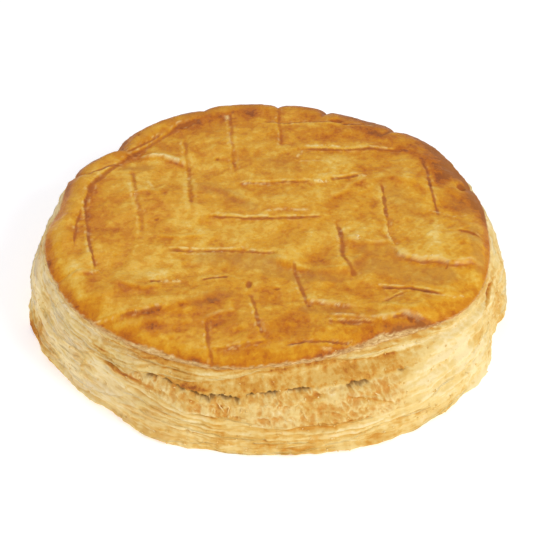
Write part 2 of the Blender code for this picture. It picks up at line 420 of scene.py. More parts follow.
# %% Side materials
def leaf_material():
    material, shader, wire = start_material("dry_leaves", Specular_IOR_Level=0.2)
    lines = wire.cloud(800.0, 3.0, 0.6, (0.14, 0.14, 1.0), 0.5)
    patches = wire.cloud(70.0, 3.0, 0.6, (1.0, 1.0, 1.8), 0.8)
    crumb = wire.cloud(520.0, 4.0, 0.68)
    crumbly = wire.mark("crumbly")
    brown = wire.mark("browning_and_painted_light") + (patches - 0.5) * 0.5 + (lines - 0.5) * 0.4 * (1.0 - crumbly)
    # Leaves that stand out are painted paler and the crevices between them browner: painted light and shade.
    brown = brown + (crumb - 0.5) * (0.35 + crumbly * 0.45) - (wire.mark("leaf") - 0.5) * 0.4
    colour = wire.shades(
        brown.clamped(),
        (0.0, 249, 227, 170),
        (0.25, 238, 208, 134),
        (0.48, 225, 181, 94),
        (0.68, 213, 152, 58),
        (0.85, 192, 120, 40),
        (1.0, 154, 86, 32),
    )
    # The left side is painted a paler, greyer cream: painted light for the cooler light there.
    place = wire.node("ShaderNodeSeparateXYZ", Vector=wire.node("ShaderNodeTexCoord", output=3))
    painted_left_tint = place.ramp(-0.02, -0.10) * ((patches - 0.40) * 2.4)
    painted_left_tint = painted_left_tint * (wire.mark("leaf") * 2.0) * (1.3 - wire.mark("browning_and_painted_light") * 1.8)
    colour = wire.blend((painted_left_tint.clamped() * 0.85).clamped(), colour, linear(244, 225, 188))
    hollow = (wire.mark("hollow") * (crumb * 2.2 - 0.5) * 0.85).clamped()
    colour = wire.blend(hollow, colour, linear(210, 140, 58))
    # The openings, slits and holes are painted dark brown: painted shade.
    inside = wire.mark("gap").ramp(0.2, 0.95)
    colour = wire.blend((inside * 0.8).clamped(), colour, linear(150, 110, 58))
    rough = 0.62 + (crumb - 0.5) * 0.3
    finish(shader, wire, colour, rough, lines * 0.5 + crumb * (0.8 + crumbly * 1.2), 0.6, 0.0006)
    return material


def flake_material(name, pale, deep):
    """Thin torn pastry, from one colour to another with fine crumb in it."""
    material, shader, wire = start_material(name, Specular_IOR_Level=0.25)
    crumb = wire.cloud(600.0, 4.0, 0.6)
    share = (crumb - 0.5) * 1.2 + (wire.cloud(110.0, 2.0) - 0.5) * 1.4 + 0.45
    colour = wire.shades(share.clamped(), (0.0, *pale), (0.6, *deep), (1.0, 222, 168, 88))
    finish(shader, wire, colour, 0.6 + (crumb - 0.5) * 0.3, crumb, 0.5, 0.0004)
    return material


crust_finish = glazed_material()
leaf_finish = leaf_material()
thread_finish = flake_material("pastry_thread", (242, 216, 152), (232, 194, 116))
flake_finish = flake_material("torn_flake", (250, 228, 166), (238, 198, 112))
print(len(bpy.data.materials), "materials")

# %% [markdown]
# ## The knife scores and folds
#
# The baker draws short strokes in two directions, like woven straw. Each stroke cuts through
# the egg wash into dough that has none, so it bakes to a rusty line, and the crust on one side
# of it often lifts into a lip that is painted pale: partly pale dough and partly a painted
# highlight. A stroke is kept as its width, its depth, how much one side stands over the other,
# and the points that the blade passed through. Between the strokes the crust has puffed in
# plates, whose edges show as folds: steep on one side and gentle on the other.

# %% The strokes
SCORES = (
    (2.8, 0.30, -0.2, (-19, 86), (-17, 60), (-15, 36)),
    (1.8, 0.60, 0.0, (-19.5, 87), (-18.5, 80)),
    (2.8, 0.34, -0.2, (-40, 66), (-39, 50), (-37, 36), (-35, 11)),
    (2.4, 0.45, -0.1, (-37.5, 28), (-36, 19), (-35, 10)),
    (2.8, 0.28, -0.3, (-64, 37), (-60, 14), (-57, 0), (-55, -14)),
    (2.2, 0.45, 0.0, (-64.5, 37), (-62, 29)),
    (1.8, 0.30, -0.2, (5, 96), (6, 78), (7, 58)),
    (1.2, 0.95, 0.1, (74, 49), (75.5, 30), (77, 2)),
    (1.8, 0.75, -0.3, (53, 27), (53.5, 12), (54, 0)),
    (1.0, 0.35, -0.5, (54, 2), (54.5, -12), (56, -23)),
    (2.4, 0.72, -0.3, (31, -4), (33, -19), (33, -30), (38, -43)),
    (1.9, 0.55, -0.2, (11, -32), (13, -45), (17, -63)),
    (1.8, 0.50, -0.3, (-8, -54), (-5, -66), (-2, -82)),
    (1.8, 0.45, -0.2, (-25, -70), (-24, -84), (-22, -97)),
    (1.3, 0.80, 0.6, (17, 56), (40, 56), (66, 57)),
    (1.6, 0.50, 0.5, (-14, 26), (0, 27), (14, 28), (21, 28)),
    (2.0, 0.75, 0.3, (29, 30), (36, 32), (43, 34)),
    (1.0, 0.70, 0.5, (-27, 1), (-4, -1), (10, -1), (25, 1)),
    (2.3, 0.60, 0.3, (-44, -24), (-26, -24), (-8, -24.5)),
    (1.0, 0.70, 0.4, (-10, -25), (4, -26)),
    (1.6, 0.80, 0.1, (-50, -46), (-46, -46)),
    (1.2, 0.90, 0.1, (-28, -45.5), (-22, -44), (-17, -42.5)),
    (0.8, 0.60, 0.5, (-62, -68), (-52, -66), (-43, -63.5)),
    (1.0, 0.45, 0.5, (-22, -88), (-10, -87), (0, -85)),
    (1.2, 0.70, 0.4, (84, -10), (89, -10), (94, -13)),
    (1.9, 0.85, 0.4, (47, -49), (60, -50), (73, -54)),
    (1.0, 0.95, -0.2, (7, -87), (22, -85), (35, -84)),
    (1.2, 0.55, 0.3, (49, -59), (59, -52)),
    (1.0, 0.85, 0.3, (51, -70), (57, -68), (66, -69)),
    (1.0, 0.60, 0.3, (24, -73), (44, -73)),
    (0.9, 0.80, 0.0, (78, -33), (77, -38)),
    (0.8, 0.55, 0.5, (56, -26), (60, -30.5), (66, -32.5), (74, -33.5), (79, -35.5), (88, -33)),
)
BORDER_CREASE = (
    (2.2, 0.55, -0.7, (-36, 81), (-43, 76), (-50, 68), (-58, 59), (-66, 50), (-73, 41)),
    (3.6, 0.60, -0.3, (-35, 82), (-42, 75)),
    (1.0, 0.70, -0.2, (-52, 69), (-60, 61), (-68, 53)),
    (2.6, 0.70, -0.6, (-69, 47), (-73, 41), (-78, 35), (-82, 27), (-83, 19)),
    (1.2, 0.85, -0.5, (-83, 22), (-83, 8), (-81, -3), (-78, -22), (-74, -37)),
    (1.0, 0.55, -0.2, (-85, 8), (-86, -8), (-85, -20)),
    (1.1, 0.80, 0.2, (-71, 44), (-78, 40), (-85, 35)),
    (1.2, 0.55, -0.4, (-2, 80), (14, 80), (32, 80)),
    (1.0, 1.00, -0.3, (36, 79), (44, 79), (53, 80)),
)
print(len(SCORES), "strokes,", round(sum(math.dist(s[3], s[-1]) for s in SCORES)), "mm in all")

# %% [markdown]
# ## Light edges, folds and pits
#
# Where a plate of crust lifts, its thin edge is painted pale: partly pale torn glaze and partly
# a painted highlight where it catches the light. Each such edge is a narrow, broken ridge: its
# width, its strength and its points. A fold is wider: how high it stands, how far it falls away
# behind and in front, how pale its top edge is painted, and its points. Its steep front is
# painted browner, as painted shade. A pit is a burst bubble: its middle, its two half widths
# and its depth. Short lists keep each one easy to move, where a sculpted mesh would hide them.

# %% Light edges, folds and pits
GLINTS = (
    (1.5, 0.9, (17, 58), (26, 58.5), (36, 58.5)),
    (1.0, 0.6, (36, 58.5), (50, 58), (62, 58.5)),
    (1.2, 0.6, (13, 46), (15, 51), (17, 57)),
    (1.2, 0.8, (-13, 26), (-6, 26.5), (2, 27)),
    (1.6, 0.9, (21, 28.5), (28, 28)),
    (2.0, 0.9, (42, 33), (46, 34)),
    (1.4, 0.6, (-2, 4), (8, 5), (20, 5)),
    (1.0, 0.6, (-26, 3), (-10, 1), (2, 1)),
    (0.9, 0.7, (-44, -22), (-30, -22.5), (-8, -22)),
    (0.8, 0.5, (-38, -26), (-22, -26.5)),
    (1.4, 0.8, (-46, -46), (-36, -45.5)),
    (1.4, 0.6, (39, -14), (40, -18)),
    (1.2, 0.7, (53.5, -12), (54.5, -20)),
    (0.9, 0.8, (56, -24), (58, -28), (66, -30), (74, -31), (79, -33)),
    (0.9, 0.7, (83, -32), (88, -30.5), (91, -31)),
    (1.3, 0.9, (17, -59), (24, -61), (33, -63)),
    (1.0, 0.8, (25, -69), (36, -69), (50, -71)),
    (0.8, 0.6, (46, -47.5), (56, -48)),
    (0.9, 0.7, (68, -54), (78, -55), (84, -53)),
    (0.8, 0.8, (-76, -69), (-62, -68.5)),
    (0.8, 0.6, (-16, -88), (-9, -87)),
    (1.2, 0.7, (-77, -39), (-73, -38)),
    (1.4, 0.7, (30, -86), (36, -83)),
    (1.0, 0.5, (20, -88), (34, -88)),
    (0.8, 0.5, (30, -14), (32.5, -24)),
    (1.6, 0.7, (-21, 87), (-20, 81)),
    (0.8, 0.4, (-19, 72), (-17, 52)),
    (0.9, 0.4, (-63, 28), (-59, 4)),
    (1.0, 0.7, (-56, 30), (-52, 20)),
    (2.0, 1.0, (-60, 50), (-50, 49), (-40, 43)),
    (0.8, 0.5, (70, 8), (84, 2), (92, 4)),
    (0.8, 0.5, (12, 44), (22, 46), (30, 45)),
)
FOLDS = (
    (0.65, 12, 2.2, 0.0, (-76, -69), (-57, -65), (-42, -62), (-30, -58), (-22, -53), (-11, -51)),
    (0.8, 8, 1.3, 0.5, (13, -57), (24, -60), (38, -63)),
    (0.5, 7, 1.4, 0.5, (24, -68), (45, -70), (57, -67), (66, -69)),
    (0.7, 9, 1.6, 0.2, (34, -14), (40, -19), (48, -19), (54, -17)),
    (0.8, 14, 0.9, 0.4, (54, -19), (58, -28), (66, -31), (74, -32), (79, -34), (88, -31),
     (95, -34)),
    (0.6, 8, 2.5, 0.0, (44, 24), (50, 31), (58, 33), (70, 28), (84, 15)),
    (1.2, 4, 1.6, 1.0, (-62, 50), (-50, 49), (-38, 42)),
    (0.6, 4, 1.2, 0.3, (-86, -41), (-80, -38), (-71, -38)),
    (0.6, 6, 1.8, 0.0, (-32, 27), (-20, 21), (-8, 11)),
    (0.5, 4, 2.0, 0.1, (27, 14), (33, 20), (40, 28), (47, 33)),
    (0.8, 10, 2.0, 0.0, (-2, -28), (10, -33), (20, -39), (34, -37), (40, -29), (44, -20)),
    (0.5, 9, 3.0, 0.0, (32, -80), (45, -76), (63, -71)),
    (0.5, 5, 1.4, 0.2, (-26, -69), (-20, -66), (-13, -65)),
    (0.5, 5, 1.6, 0.0, (-52, -11), (-40, -14), (-26, -12)),
    (0.5, 6, 2.0, 0.0, (60, 62), (70, 57), (80, 44)),
    (0.5, 5, 2.0, 0.0, (-68, 18), (-58, 22), (-48, 18)),
    (0.7, 7, 2.0, 0.0, (-68, -44), (-60, -47), (-52, -50), (-44, -47)),
    (0.5, 7, 1.6, 0.0, (48, -60), (58, -66), (70, -62)),
)
PITS = (
    (34, 82, 2.8, 1.9, 1.9),
    (90, 27, 1.7, 2.8, 1.8),
    (-50, -1, 1.0, 0.8, 0.5),
    (-8, -48, 1.4, 2.6, 0.7),
    (4, -51, 1.4, 0.8, 0.6),
    (-24, 47, 0.9, 0.9, 0.5),
    (-63, 68, 0.8, 0.8, 0.6),
    (17, -62, 1.0, 1.2, 0.6),
)
print(len(GLINTS), "light edges,", len(FOLDS), "folds and", len(PITS), "pits")

# %% [markdown]
# ## Torn, browned and dull places
#
# Egg wash never bakes evenly. It has torn at a few spots, it is deep brown along the front fold
# and straw where it stayed thin, and it is matt on some slopes that face the front, which are
# painted a darker tan as painted shade. Torn and browned places are soft ovals, and a negative
# strength keeps a place pale. Dull places are wide strokes with ragged edges. Noise alone would
# scatter these anywhere on the crust.

# %% Torn, browned and dull places
TORN = (
    (-42, -46, 5, 1.4),
    (25, 28, 3.4, 1.4),
    (45, 33, 2.6, 1.4),
    (-73, -38, 2, 1.0),
    (40, -16, 1.6, 2.4),
    (26, 58, 5, 1.0),
)
BROWNED = (
    (-76, -50, 12, 9, 0.14),
    (-58, -50, 8, 4, 0.10),
    (57, -74.5, 14, 3.0, 1.10),
    (42, -79, 9, 2.2, 0.60),
    (65, -70.5, 7, 2.4, 0.60),
    (80, -2, 14, 10, -0.05),
    (27, -88, 9, 2.4, 0.35),
    (8, -78, 22, 7, 0.16),
    (-45, -74, 18, 7, 0.10),
    (-52, -57, 12, 5, -0.10),
    (33, 70, 24, 8, 0.34),
    (44, 50, 12, 5, 0.20),
    (82, 40, 8, 22, 0.30),
    (86, -20, 5, 14, 0.18),
    (-90, 18, 6, 22, 0.20),
    (-95, -24, 4, 20, 0.16),
    (-92, -36, 6, 14, 0.16),
    (-72, 2, 10, 26, 0.12),
    (-14, -57, 9, 5, 0.12),
    (30, -50, 14, 5, 0.16),
    (-44, 60, 9, 9, 0.20),
    (-30, 74, 12, 8, 0.16),
    (-50, 46, 12, 3, -0.35),
    (42, -10, 14, 7, -0.12),
    (74, -18, 13, 11, -0.16),
    (-14, -10, 26, 8, -0.12),
    (-46, -40, 18, 6, -0.14),
    (-52, 72, 7, 5, -0.16),
    (-66, 58, 4, 3, -0.40),
    (10, 10, 26, 12, -0.06),
    (-8, -91, 24, 4, 0.20),
    (-84, -2, 8, 30, 0.10),
)
MATT_SHADED = (
    (6, 0.9, (-26, -29), (-10, -30), (0, -33)),
    (3, 0.5, (48, -77), (66, -71)),
    (5, 0.9, (2, -38), (16, -43), (30, -43)),
    (7, 0.9, (40, -34), (52, -35), (66, -42), (76, -41)),
    (5, 0.7, (44, -24), (52, -24)),
    (4, 0.7, (-32, 24), (-20, 18), (-8, 8)),
    (3, 0.8, (-68, 41), (-57, 40)),
    (6, 0.4, (0, 44), (12, 38)),
    (6, 0.5, (54, 26), (62, 14), (66, 6)),
    (4, 0.5, (80, 20), (90, 8)),
    (3, 0.8, (92, -8), (92, -34)),
    (4, 0.6, (-30, -60), (-18, -54)),
    (3, 0.7, (16, -65), (34, -66)),
    (4, 0.4, (-48, 84), (-20, 92)),
)

print(len(BROWNED), "browned and", len(MATT_SHADED), "dull places")


# %% Distances to a stroke, and soft patches
def along_stroke(x, y, points):
    """For many places: the distance to the stroke, the side they are on, and how far along."""
    nearest = np.full(x.shape, 1e9)
    side = np.zeros(x.shape)
    along = np.zeros(x.shape)
    lengths = [math.dist(a, b) for a, b in zip(points, points[1:])]
    done = 0.0
    for (ax, ay), (bx, by), length in zip(points, points[1:], lengths):
        ux, uy = (bx - ax) / length, (by - ay) / length
        reach = np.clip((x - ax) * ux + (y - ay) * uy, 0.0, length)
        across = (y - ay) * ux - (x - ax) * uy
        gap = np.hypot(x - ax - reach * ux, y - ay - reach * uy)
        closer = gap < nearest
        nearest = np.where(closer, gap, nearest)
        side = np.where(closer, np.sign(across), side)
        along = np.where(closer, (done + reach) / sum(lengths), along)
        done += length
    return nearest, side, along


def places_near(x, y, points, reach):
    """Picks the places in the box round a stroke, so that it is worked out only there."""
    across, up = zip(*points)
    inside = (x > min(across) - reach) & (x < max(across) + reach)
    return np.nonzero(inside & (y > min(up) - reach) & (y < max(up) + reach))


def patches(x, y, entries):
    """The sum of soft oval patches: middle, half width, half depth and how strong."""
    total = np.zeros(x.shape)
    for centre_x, centre_y, wide, deep, *strength in entries:
        away = ((x - centre_x) / wide) ** 2 + ((y - centre_y) / deep) ** 2
        total += (strength[0] if strength else 1.0) * np.exp(-away)
    return total


# %% [markdown]
# ## The glazed crust
#
# The crust is a disc of fine faces. A square grid bent into a circle keeps its faces nearly
# the same size everywhere, where a fan of rings would crowd them into the middle. Every point
# is lifted to the crust's height, and the strokes, lips, folds and pits are worked into it.
# While it does so, the function writes down how cut, raised and torn each point is, and the
# crust's material reads those marks.

# %% A disc of even faces
def even_disc(count):
    """Points of a square grid bent into a unit disc, and its faces."""
    line = np.linspace(-1.0, 1.0, count + 1)
    u, v = np.meshgrid(line, line, indexing="ij")
    radius = np.maximum(np.abs(u), np.abs(v))
    wide = np.abs(u) >= np.abs(v)
    with np.errstate(divide="ignore", invalid="ignore"):
        turn = np.where(wide, np.pi / 4 * v / u, np.pi / 2 - np.pi / 4 * u / v)
    turn = np.where(radius == 0, 0.0, turn)
    sign = np.where(wide, np.sign(u), np.sign(v))
    x, y = sign * radius * np.cos(turn), sign * radius * np.sin(turn)
    index = np.arange((count + 1) ** 2).reshape(count + 1, count + 1)
    faces = np.stack([index[:-1, :-1], index[1:, :-1], index[1:, 1:], index[:-1, 1:]], axis=-1)
    border = np.concatenate([index[:-1, 0], index[-1, :-1], index[:0:-1, -1], index[0, :0:-1]])
    return x.ravel(), y.ravel(), faces.reshape(-1, 4), border


# %% [markdown]
# ## Relief of the crust
#
# A stroke lowers the crust, leaves one of its sides a little higher and raises a broken lip
# beside it. Folds, pits and thin wrinkles of the dried skin follow, then brush streaks on the
# right. A ragged strip along the front rim never got any egg, and stays pale and floury.
# Each function changes the height and returns the marks that its own step leaves behind.

# %% What the crust looks like at each place
def score_relief(x, y, height):
    """Cuts the strokes into the height, and returns how cut and how raised each place is."""
    cut = np.zeros(x.shape)
    lip = np.zeros(x.shape)
    for number, (width, rust, over, *points) in enumerate(SCORES + BORDER_CREASE):
        near = places_near(x, y, points, 18.0)
        gap, side, along = along_stroke(x[near], y[near], points)
        fade = 0.25 + 0.75 * ends(along) * (0.85 + 0.5 * grain(along * 9.0, number, 0.0, 1.0, 5))
        tight = (0.30 + 0.31 * width) * (1.0 + 0.5 * grain(along * 14.0, number, 3.0, 1.0, 15))
        groove = np.exp(-((gap / tight) ** 3.0)) * fade
        plate = side * np.exp(-gap / 6.0) * step(0.1, 0.8, gap / width) * step(18.0, 10.0, gap)
        raised = bump(gap - 0.6 * width - 0.45, 0.5) * fade
        broken = step(-0.1, 0.6, grain(x[near], y[near], number, 2.2, 16))
        raised *= broken * np.where(side * over > 0, 1.0, 0.5)
        height[near] -= (0.16 + 0.05 * width + 0.12 * width * rust) * groove - 0.9 * over * plate * fade
        height[near] += (0.06 + 0.12 * abs(over)) * raised
        rusty = rust * groove * (1.0 + 0.4 * grain(x[near], y[near], number, 3.0, 19))
        cut[near] = np.maximum(cut[near], rusty)
        # The raised lip is painted pale, partly as a painted highlight.
        lip[near] = np.maximum(lip[near], raised * min(1.0, 0.3 + 0.6 * abs(over)))
        # Bits of torn glaze are left standing in the wider strokes.
        bits = step(0.3, 0.8, grain(x[near], y[near], number, 2.4, 18)) * groove * min(1.0, 0.4 * width)
        height[near] += 0.14 * bits
        lip[near] = np.maximum(lip[near], 0.45 * bits)
    # Light edges are painted as pale ridges: partly pale torn glaze, partly painted highlight.
    for number, (width, strength, *points) in enumerate(GLINTS):
        near = places_near(x, y, points, 4.0)
        gap, side, along = along_stroke(x[near], y[near], points)
        beaded = step(-0.35, 0.45, grain(x[near], y[near] * 0.5, number, 1.5, 17))
        ridge = bump(gap, 0.55 * width) * ends(along, 0.15) * beaded
        height[near] += 0.2 * strength * ridge
        lip[near] = np.maximum(lip[near], strength * ridge)
    return cut, lip


def fold_relief(x, y, height, lip):
    """Raises the plates' edges, each gentle behind and steep in front, and marks the steep front for painted
    shade.
    """
    fold_front_shade = np.zeros(x.shape)
    for number, (rise, behind, before, pale, *points) in enumerate(FOLDS):
        near = places_near(x, y, points, 3.0 * behind)
        gap, side, along = along_stroke(x[near], y[near], points)
        fade = ends(along, 0.18) * step(3.0, 2.0, gap / behind)
        height[near] += 1.3 * rise * fade * np.where(side > 0, np.exp(-gap / behind), bump(gap, before))
        # The steep front of each fold is marked for painted shade.
        front = np.where(side < 0, bump(gap - 0.7 * before, before), 0.3 * bump(gap, 0.5))
        fold_front_shade[near] = np.maximum(fold_front_shade[near], rise * fade * front)
        broken = step(-0.5, 0.4, grain(x[near], y[near], number, 3.0, 17))
        lip[near] = np.maximum(lip[near], pale * fade * bump(gap - 0.3, 0.7) * broken)
    return lip, fold_front_shade


def crust_surface(x, y):
    """The finished height of the crust and its marks: cut, lip, torn and the painted shade in front of the
    folds.
    """
    share = np.hypot(x, y) / rim_radius(angle_of(x, y))
    inside = step(1.0, 0.96, share)
    height = crust_height(x, y)
    warped_x = x + 0.7 * grain(x, y, 0.0, 9.0, 1) + 0.35 * grain(x, y, 0.0, 2.6, 2)
    warped_y = y + 0.7 * grain(x, y, 0.0, 9.0, 3) + 0.35 * grain(x, y, 0.0, 2.6, 4)
    cut, lip = score_relief(warped_x, warped_y, height)
    lip, fold_front_shade = fold_relief(warped_x, warped_y, height, lip)
    torn = np.clip(patches(x, y, TORN), 0.0, 1.0) * step(0.0, 0.6, grain(x, y, 0.0, 1.7, 6))
    height += torn * (0.3 * grain(x, y, 0.0, 1.3, 7) + 0.1)
    for centre_x, centre_y, wide, deep, depth in PITS:
        hole = np.exp(-(((x - centre_x) / wide) ** 2 + ((y - centre_y) / deep) ** 2) ** 1.5)
        height -= depth * hole
        cut = np.maximum(cut, 0.65 * hole)
    # Wrinkles run with the rim along the front, where the crust slumped a little.
    front = step(-40.0, -78.0, y) * step(0.99, 0.9, share)
    height += front * (0.28 * grain(x * 0.28, y, 0.0, 4.2, 8) + 0.12 * grain(x * 0.3, y, 0.0, 2.0, 9))
    height += inside * (0.60 * grain(x, y, 0.0, 14.0, 10) + 0.34 * grain(x, y * 1.1, 0.0, 6.5, 11))
    # The dried skin has wrinkled here and there into thin crooked creases.
    wrinkles = np.zeros(x.shape)
    for number, size in enumerate((15.0, 9.0)):
        line = grain(x + 0.3 * y, y, 0.0, size, 70 + number) + 0.12 * grain(x, y, 0.0, 3.0, 72)
        where_lies = step(-0.05, 0.35, grain(x, y, 0.0, 2.2 * size, 74 + number))
        wrinkles = np.maximum(wrinkles, bump(line, 0.75 / size) * where_lies)
    height -= 0.12 * inside * wrinkles
    cut = np.maximum(cut, 0.15 * wrinkles)
    # Fine streaks lie across the cake on the right.
    right = step(30.0, 66.0, x) * step(12.0, -6.0, y)
    streak = grain(x * 0.8 - y * 0.6, (y * 0.8 + x * 0.6) * 0.28, 0.0, 1.7, 12)
    height += inside * (0.03 + 0.13 * right) * streak
    height += inside * (0.17 * grain(x, y, 0.0, 3.0, 13) + 0.06 * grain(x, y, 0.0, 1.4, 14))
    return height, cut, lip, torn, fold_front_shade


def bare_edge(x, y):
    """The ragged strip along the front rim that the egg wash never reached."""
    angle = angle_of(x, y)
    rim = rim_radius(angle)
    around = angle * ARC
    wide = 0.4 + 1.8 * near_angle(angle, 299.0, 10.0) + 0.4 * near_angle(angle, 274.0, 10.0)
    wide = wide + 1.2 * near_angle(angle, 243.0, 14.0)
    wide = wide * (1.0 + 0.5 * grain(around, 0.0, 0.0, 7.0, 25)) + 0.5 * grain(around, 0.0, 0.0, 2.2, 26)
    wide = wide * step(198.0, 212.0, angle) * step(326.0, 308.0, angle)
    return step(wide + 0.3, wide - 0.3, rim - np.hypot(x, y))


def softened(values, passes):
    """The crust's values averaged with their neighbours."""
    grid = values.reshape(CRUST_GRID + 1, -1)
    for _ in range(passes):
        wide = np.pad(grid, 1, mode="edge")
        grid = (wide[:-2, 1:-1] + wide[2:, 1:-1] + wide[1:-1, :-2] + wide[1:-1, 2:] + 4.0 * grid) / 8.0
    return grid.ravel()


def crust_browning_and_shade(x, y, height, fold_front_shade):
    """How brown the crust is painted, from 0 for straw to 1 for dark amber: browning, with painted shade in
    front of the folds and at the back rim.
    """
    angle = angle_of(x, y)
    share = np.hypot(x, y) / rim_radius(angle)
    proud = np.clip((height - RIM_HEIGHT - CROWN * (1.0 - share**2)) / 2.6, -1.0, 1.0)
    brown = 0.44 + 0.06 * proud + 0.20 * grain(x, y, 0.0, 22.0, 20) + 0.16 * grain(x, y, 0.0, 8.0, 21)
    back = step(95.0, 60.0, np.abs(turn_between(angle, 78.0)))
    # The steep fronts of folds are painted browner: painted shade.
    brown += 0.04 * step(0.95, 1.0, share) + 0.30 * fold_front_shade
    brown += 0.12 * step(-42.0, -78.0, y) + 0.8 * patches(x, y, BROWNED)
    brown = np.where(brown > 0.74, 0.74 + 0.35 * (brown - 0.74), brown)
    # The back is painted browner twice over, along the border and again at the very rim: partly browning,
    # partly painted shade where the rim turns away from the light.
    rim = 0.34 * step(0.78, 0.90, share) + 0.34 * step(0.91, 0.98, share)
    return np.clip(brown + back * rim, 0.0, 1.05)


def matt_shaded_places(x, y):
    """Where the glaze is matt and painted a darker tan: painted shade on slopes that face the front and at
    the back rim.
    """
    total = np.zeros(x.shape)
    for half, strength, *points in MATT_SHADED:
        near = places_near(x, y, points, 2.0 * half)
        gap, side, along = along_stroke(x[near], y[near], points)
        ragged = 1.0 + 0.5 * grain(x[near], y[near], half, 5.0, 22)
        total[near] = np.maximum(total[near], strength * step(1.25, 0.45, gap / (half * ragged)))
    angle = angle_of(x, y)
    share = np.hypot(x, y) / rim_radius(angle) + 0.03 * grain(x, y, 0.0, 9.0, 27)
    # The back rim is matt and painted darker too: painted shade where it turns away from the light.
    return total + 0.8 * step(100.0, 70.0, np.abs(turn_between(angle, 84.0))) * step(0.84, 0.98, share)


# %% Meshes with marks
def put_in_scene(name, data):
    """An object that shows this mesh, light or camera."""
    made = bpy.data.objects.new(name, data)
    bpy.context.scene.collection.objects.link(made)
    return made


def make_piece(name, points, faces, marks, finish_of, edges=()):
    """A mesh object from points in millimetres, with an attribute for each mark."""
    mesh = bpy.data.meshes.new(name)
    mesh.from_pydata((np.asarray(points) * MM).tolist(), list(edges), [list(map(int, f)) for f in faces])
    for mark, values in marks.items():
        values = np.asarray(values, np.float32)
        arrow = values.ndim == 2
        attribute = mesh.attributes.new(mark, "FLOAT_VECTOR" if arrow else "FLOAT", "POINT")
        attribute.data.foreach_set("vector" if arrow else "value", values.ravel())
    mesh.shade_smooth()
    mesh.materials.append(finish_of)
    return put_in_scene(name, mesh)


def report(piece):
    triangles = sum(len(face.vertices) - 2 for face in piece.data.polygons)
    print(piece.name, "has", triangles, "triangles")
    return piece


# %% Build the crust
CRUST_GRID = 300
EDGE_SKIN = 1.3

disc_x, disc_y, disc_faces, border = even_disc(CRUST_GRID)
disc_rim = rim_radius(angle_of(disc_x, disc_y))
disc_turn = angle_of(disc_x, disc_y) * ARC
ragged = 0.55 * grain(disc_turn, 0.0, 0.0, 5.0, 23) + 0.35 * grain(disc_turn, 3.0, 0.0, 2.0, 24)
disc_rim = disc_rim + ragged * step(0.94, 1.0, np.hypot(disc_x, disc_y))
crust_x, crust_y = disc_x * disc_rim, disc_y * disc_rim
crust_z, cut, lip, torn, fold_front_shade = crust_surface(crust_x, crust_y)
# This mark is painted light and shade: high where the crust stands above its neighbours, low where it lies
# below them.
painted_crest_light = 0.5 + (crust_z - softened(crust_z, 20)) / 0.7 + (crust_z - softened(crust_z, 160)) / 1.8

edge = len(border)
rows = [np.stack([crust_x, crust_y, crust_z], axis=-1)]
frayed = 0.35 * grain(crust_x[border], crust_y[border], 0.0, 3.0, 14)
for inward, down in ((0.15, 0.6), (0.9, EDGE_SKIN), (5.0, EDGE_SKIN + 0.6)):
    shrink = 1.0 - (inward + frayed) / disc_rim[border]
    below = (crust_x[border] * shrink, crust_y[border] * shrink, crust_z[border] - down)
    rows.append(np.stack(below, axis=-1))
rows.append(np.array([[0.0, 0.0, RIM_HEIGHT - 6.0]]))
crust_points = np.concatenate(rows)

first = len(crust_x)
loops = [border, *(first + edge * k + np.arange(edge) for k in range(3))]
crust_faces = disc_faces.tolist()
for upper, lower in zip(loops, loops[1:]):
    crust_faces += np.stack([upper, lower, np.roll(lower, -1), np.roll(upper, -1)], axis=-1).tolist()
middle = len(crust_points) - 1
crust_faces += [[a, middle, b] for a, b in zip(loops[3], np.roll(loops[3], -1))]

spread = np.concatenate([np.arange(first), np.tile(border, 3), [0]])
crust_marks = {
    "cut": cut[spread],
    "lip": lip[spread],
    "torn": torn[spread],
    "browning_and_painted_light": crust_browning_and_shade(crust_x, crust_y, crust_z, fold_front_shade)[spread],
    "matt_and_shaded": matt_shaded_places(crust_x, crust_y)[spread],
    "painted_crest_light": np.clip(painted_crest_light, 0.0, 1.0)[spread],
    "edge": np.concatenate([bare_edge(crust_x, crust_y), np.repeat([0.7, 1.0, 1.0], edge), [1.0]]),
}
crust = report(make_piece("glazed_crust", crust_points, crust_faces, crust_marks, crust_finish))

# %% [markdown]
# ## The flaky side
#
# Below the crust the side is a stack of paper-thin leaves, torn open where the steam escaped.
# It is one closed wall: rows of points from under the crust down to the foot, each pushed in
# or out. Lines of angle and height say where the bands of different dough meet: fine leaves
# close under the crust, a crumbly honey band, a ragged opening, and a web of torn dough.

# %% Lines and holes of the side
OPENING = (
    (228, 23.6), (232, 23.8), (236, 24.6), (240, 25.6), (244, 26.6), (248, 26.4), (251, 25.6),
    (254, 24.6), (257, 23.6), (259, 24.4), (261, 24.2), (263, 23.2), (265, 24.6), (268, 25.5),
    (271, 26.0), (275, 26.5), (279, 26.9), (285, 26.0), (289, 26.2), (292, 25.7), (296, 25.6),
    (302, 24.8), (308, 24.8),
)
GAPE = (
    (229, 0.0), (231, 0.8), (234, 0.35), (236, 0.1), (239, 0.4), (241, 0.2), (243, 0.8),
    (245, 0.25), (247, 0.6), (249, 0.3), (250.5, 0.65), (252, 0.2), (255, 0.9), (257, 1.1),
    (258.5, 0.3), (260, 0.8), (263, 0.9), (264.2, 0.1), (266, 0.6), (267.5, 0.2), (269.5, 0.75),
    (271.5, 0.65), (273, 0.1), (275, 0.5), (277, 0.9), (279, 0.6), (280.5, 0.1), (284, 0.3),
    (287.5, 0.2), (289, 0.8), (292.5, 0.7), (294, 0.1), (300, 0.1), (302, 0.5), (304, 0.3),
    (306, 0.0),
)
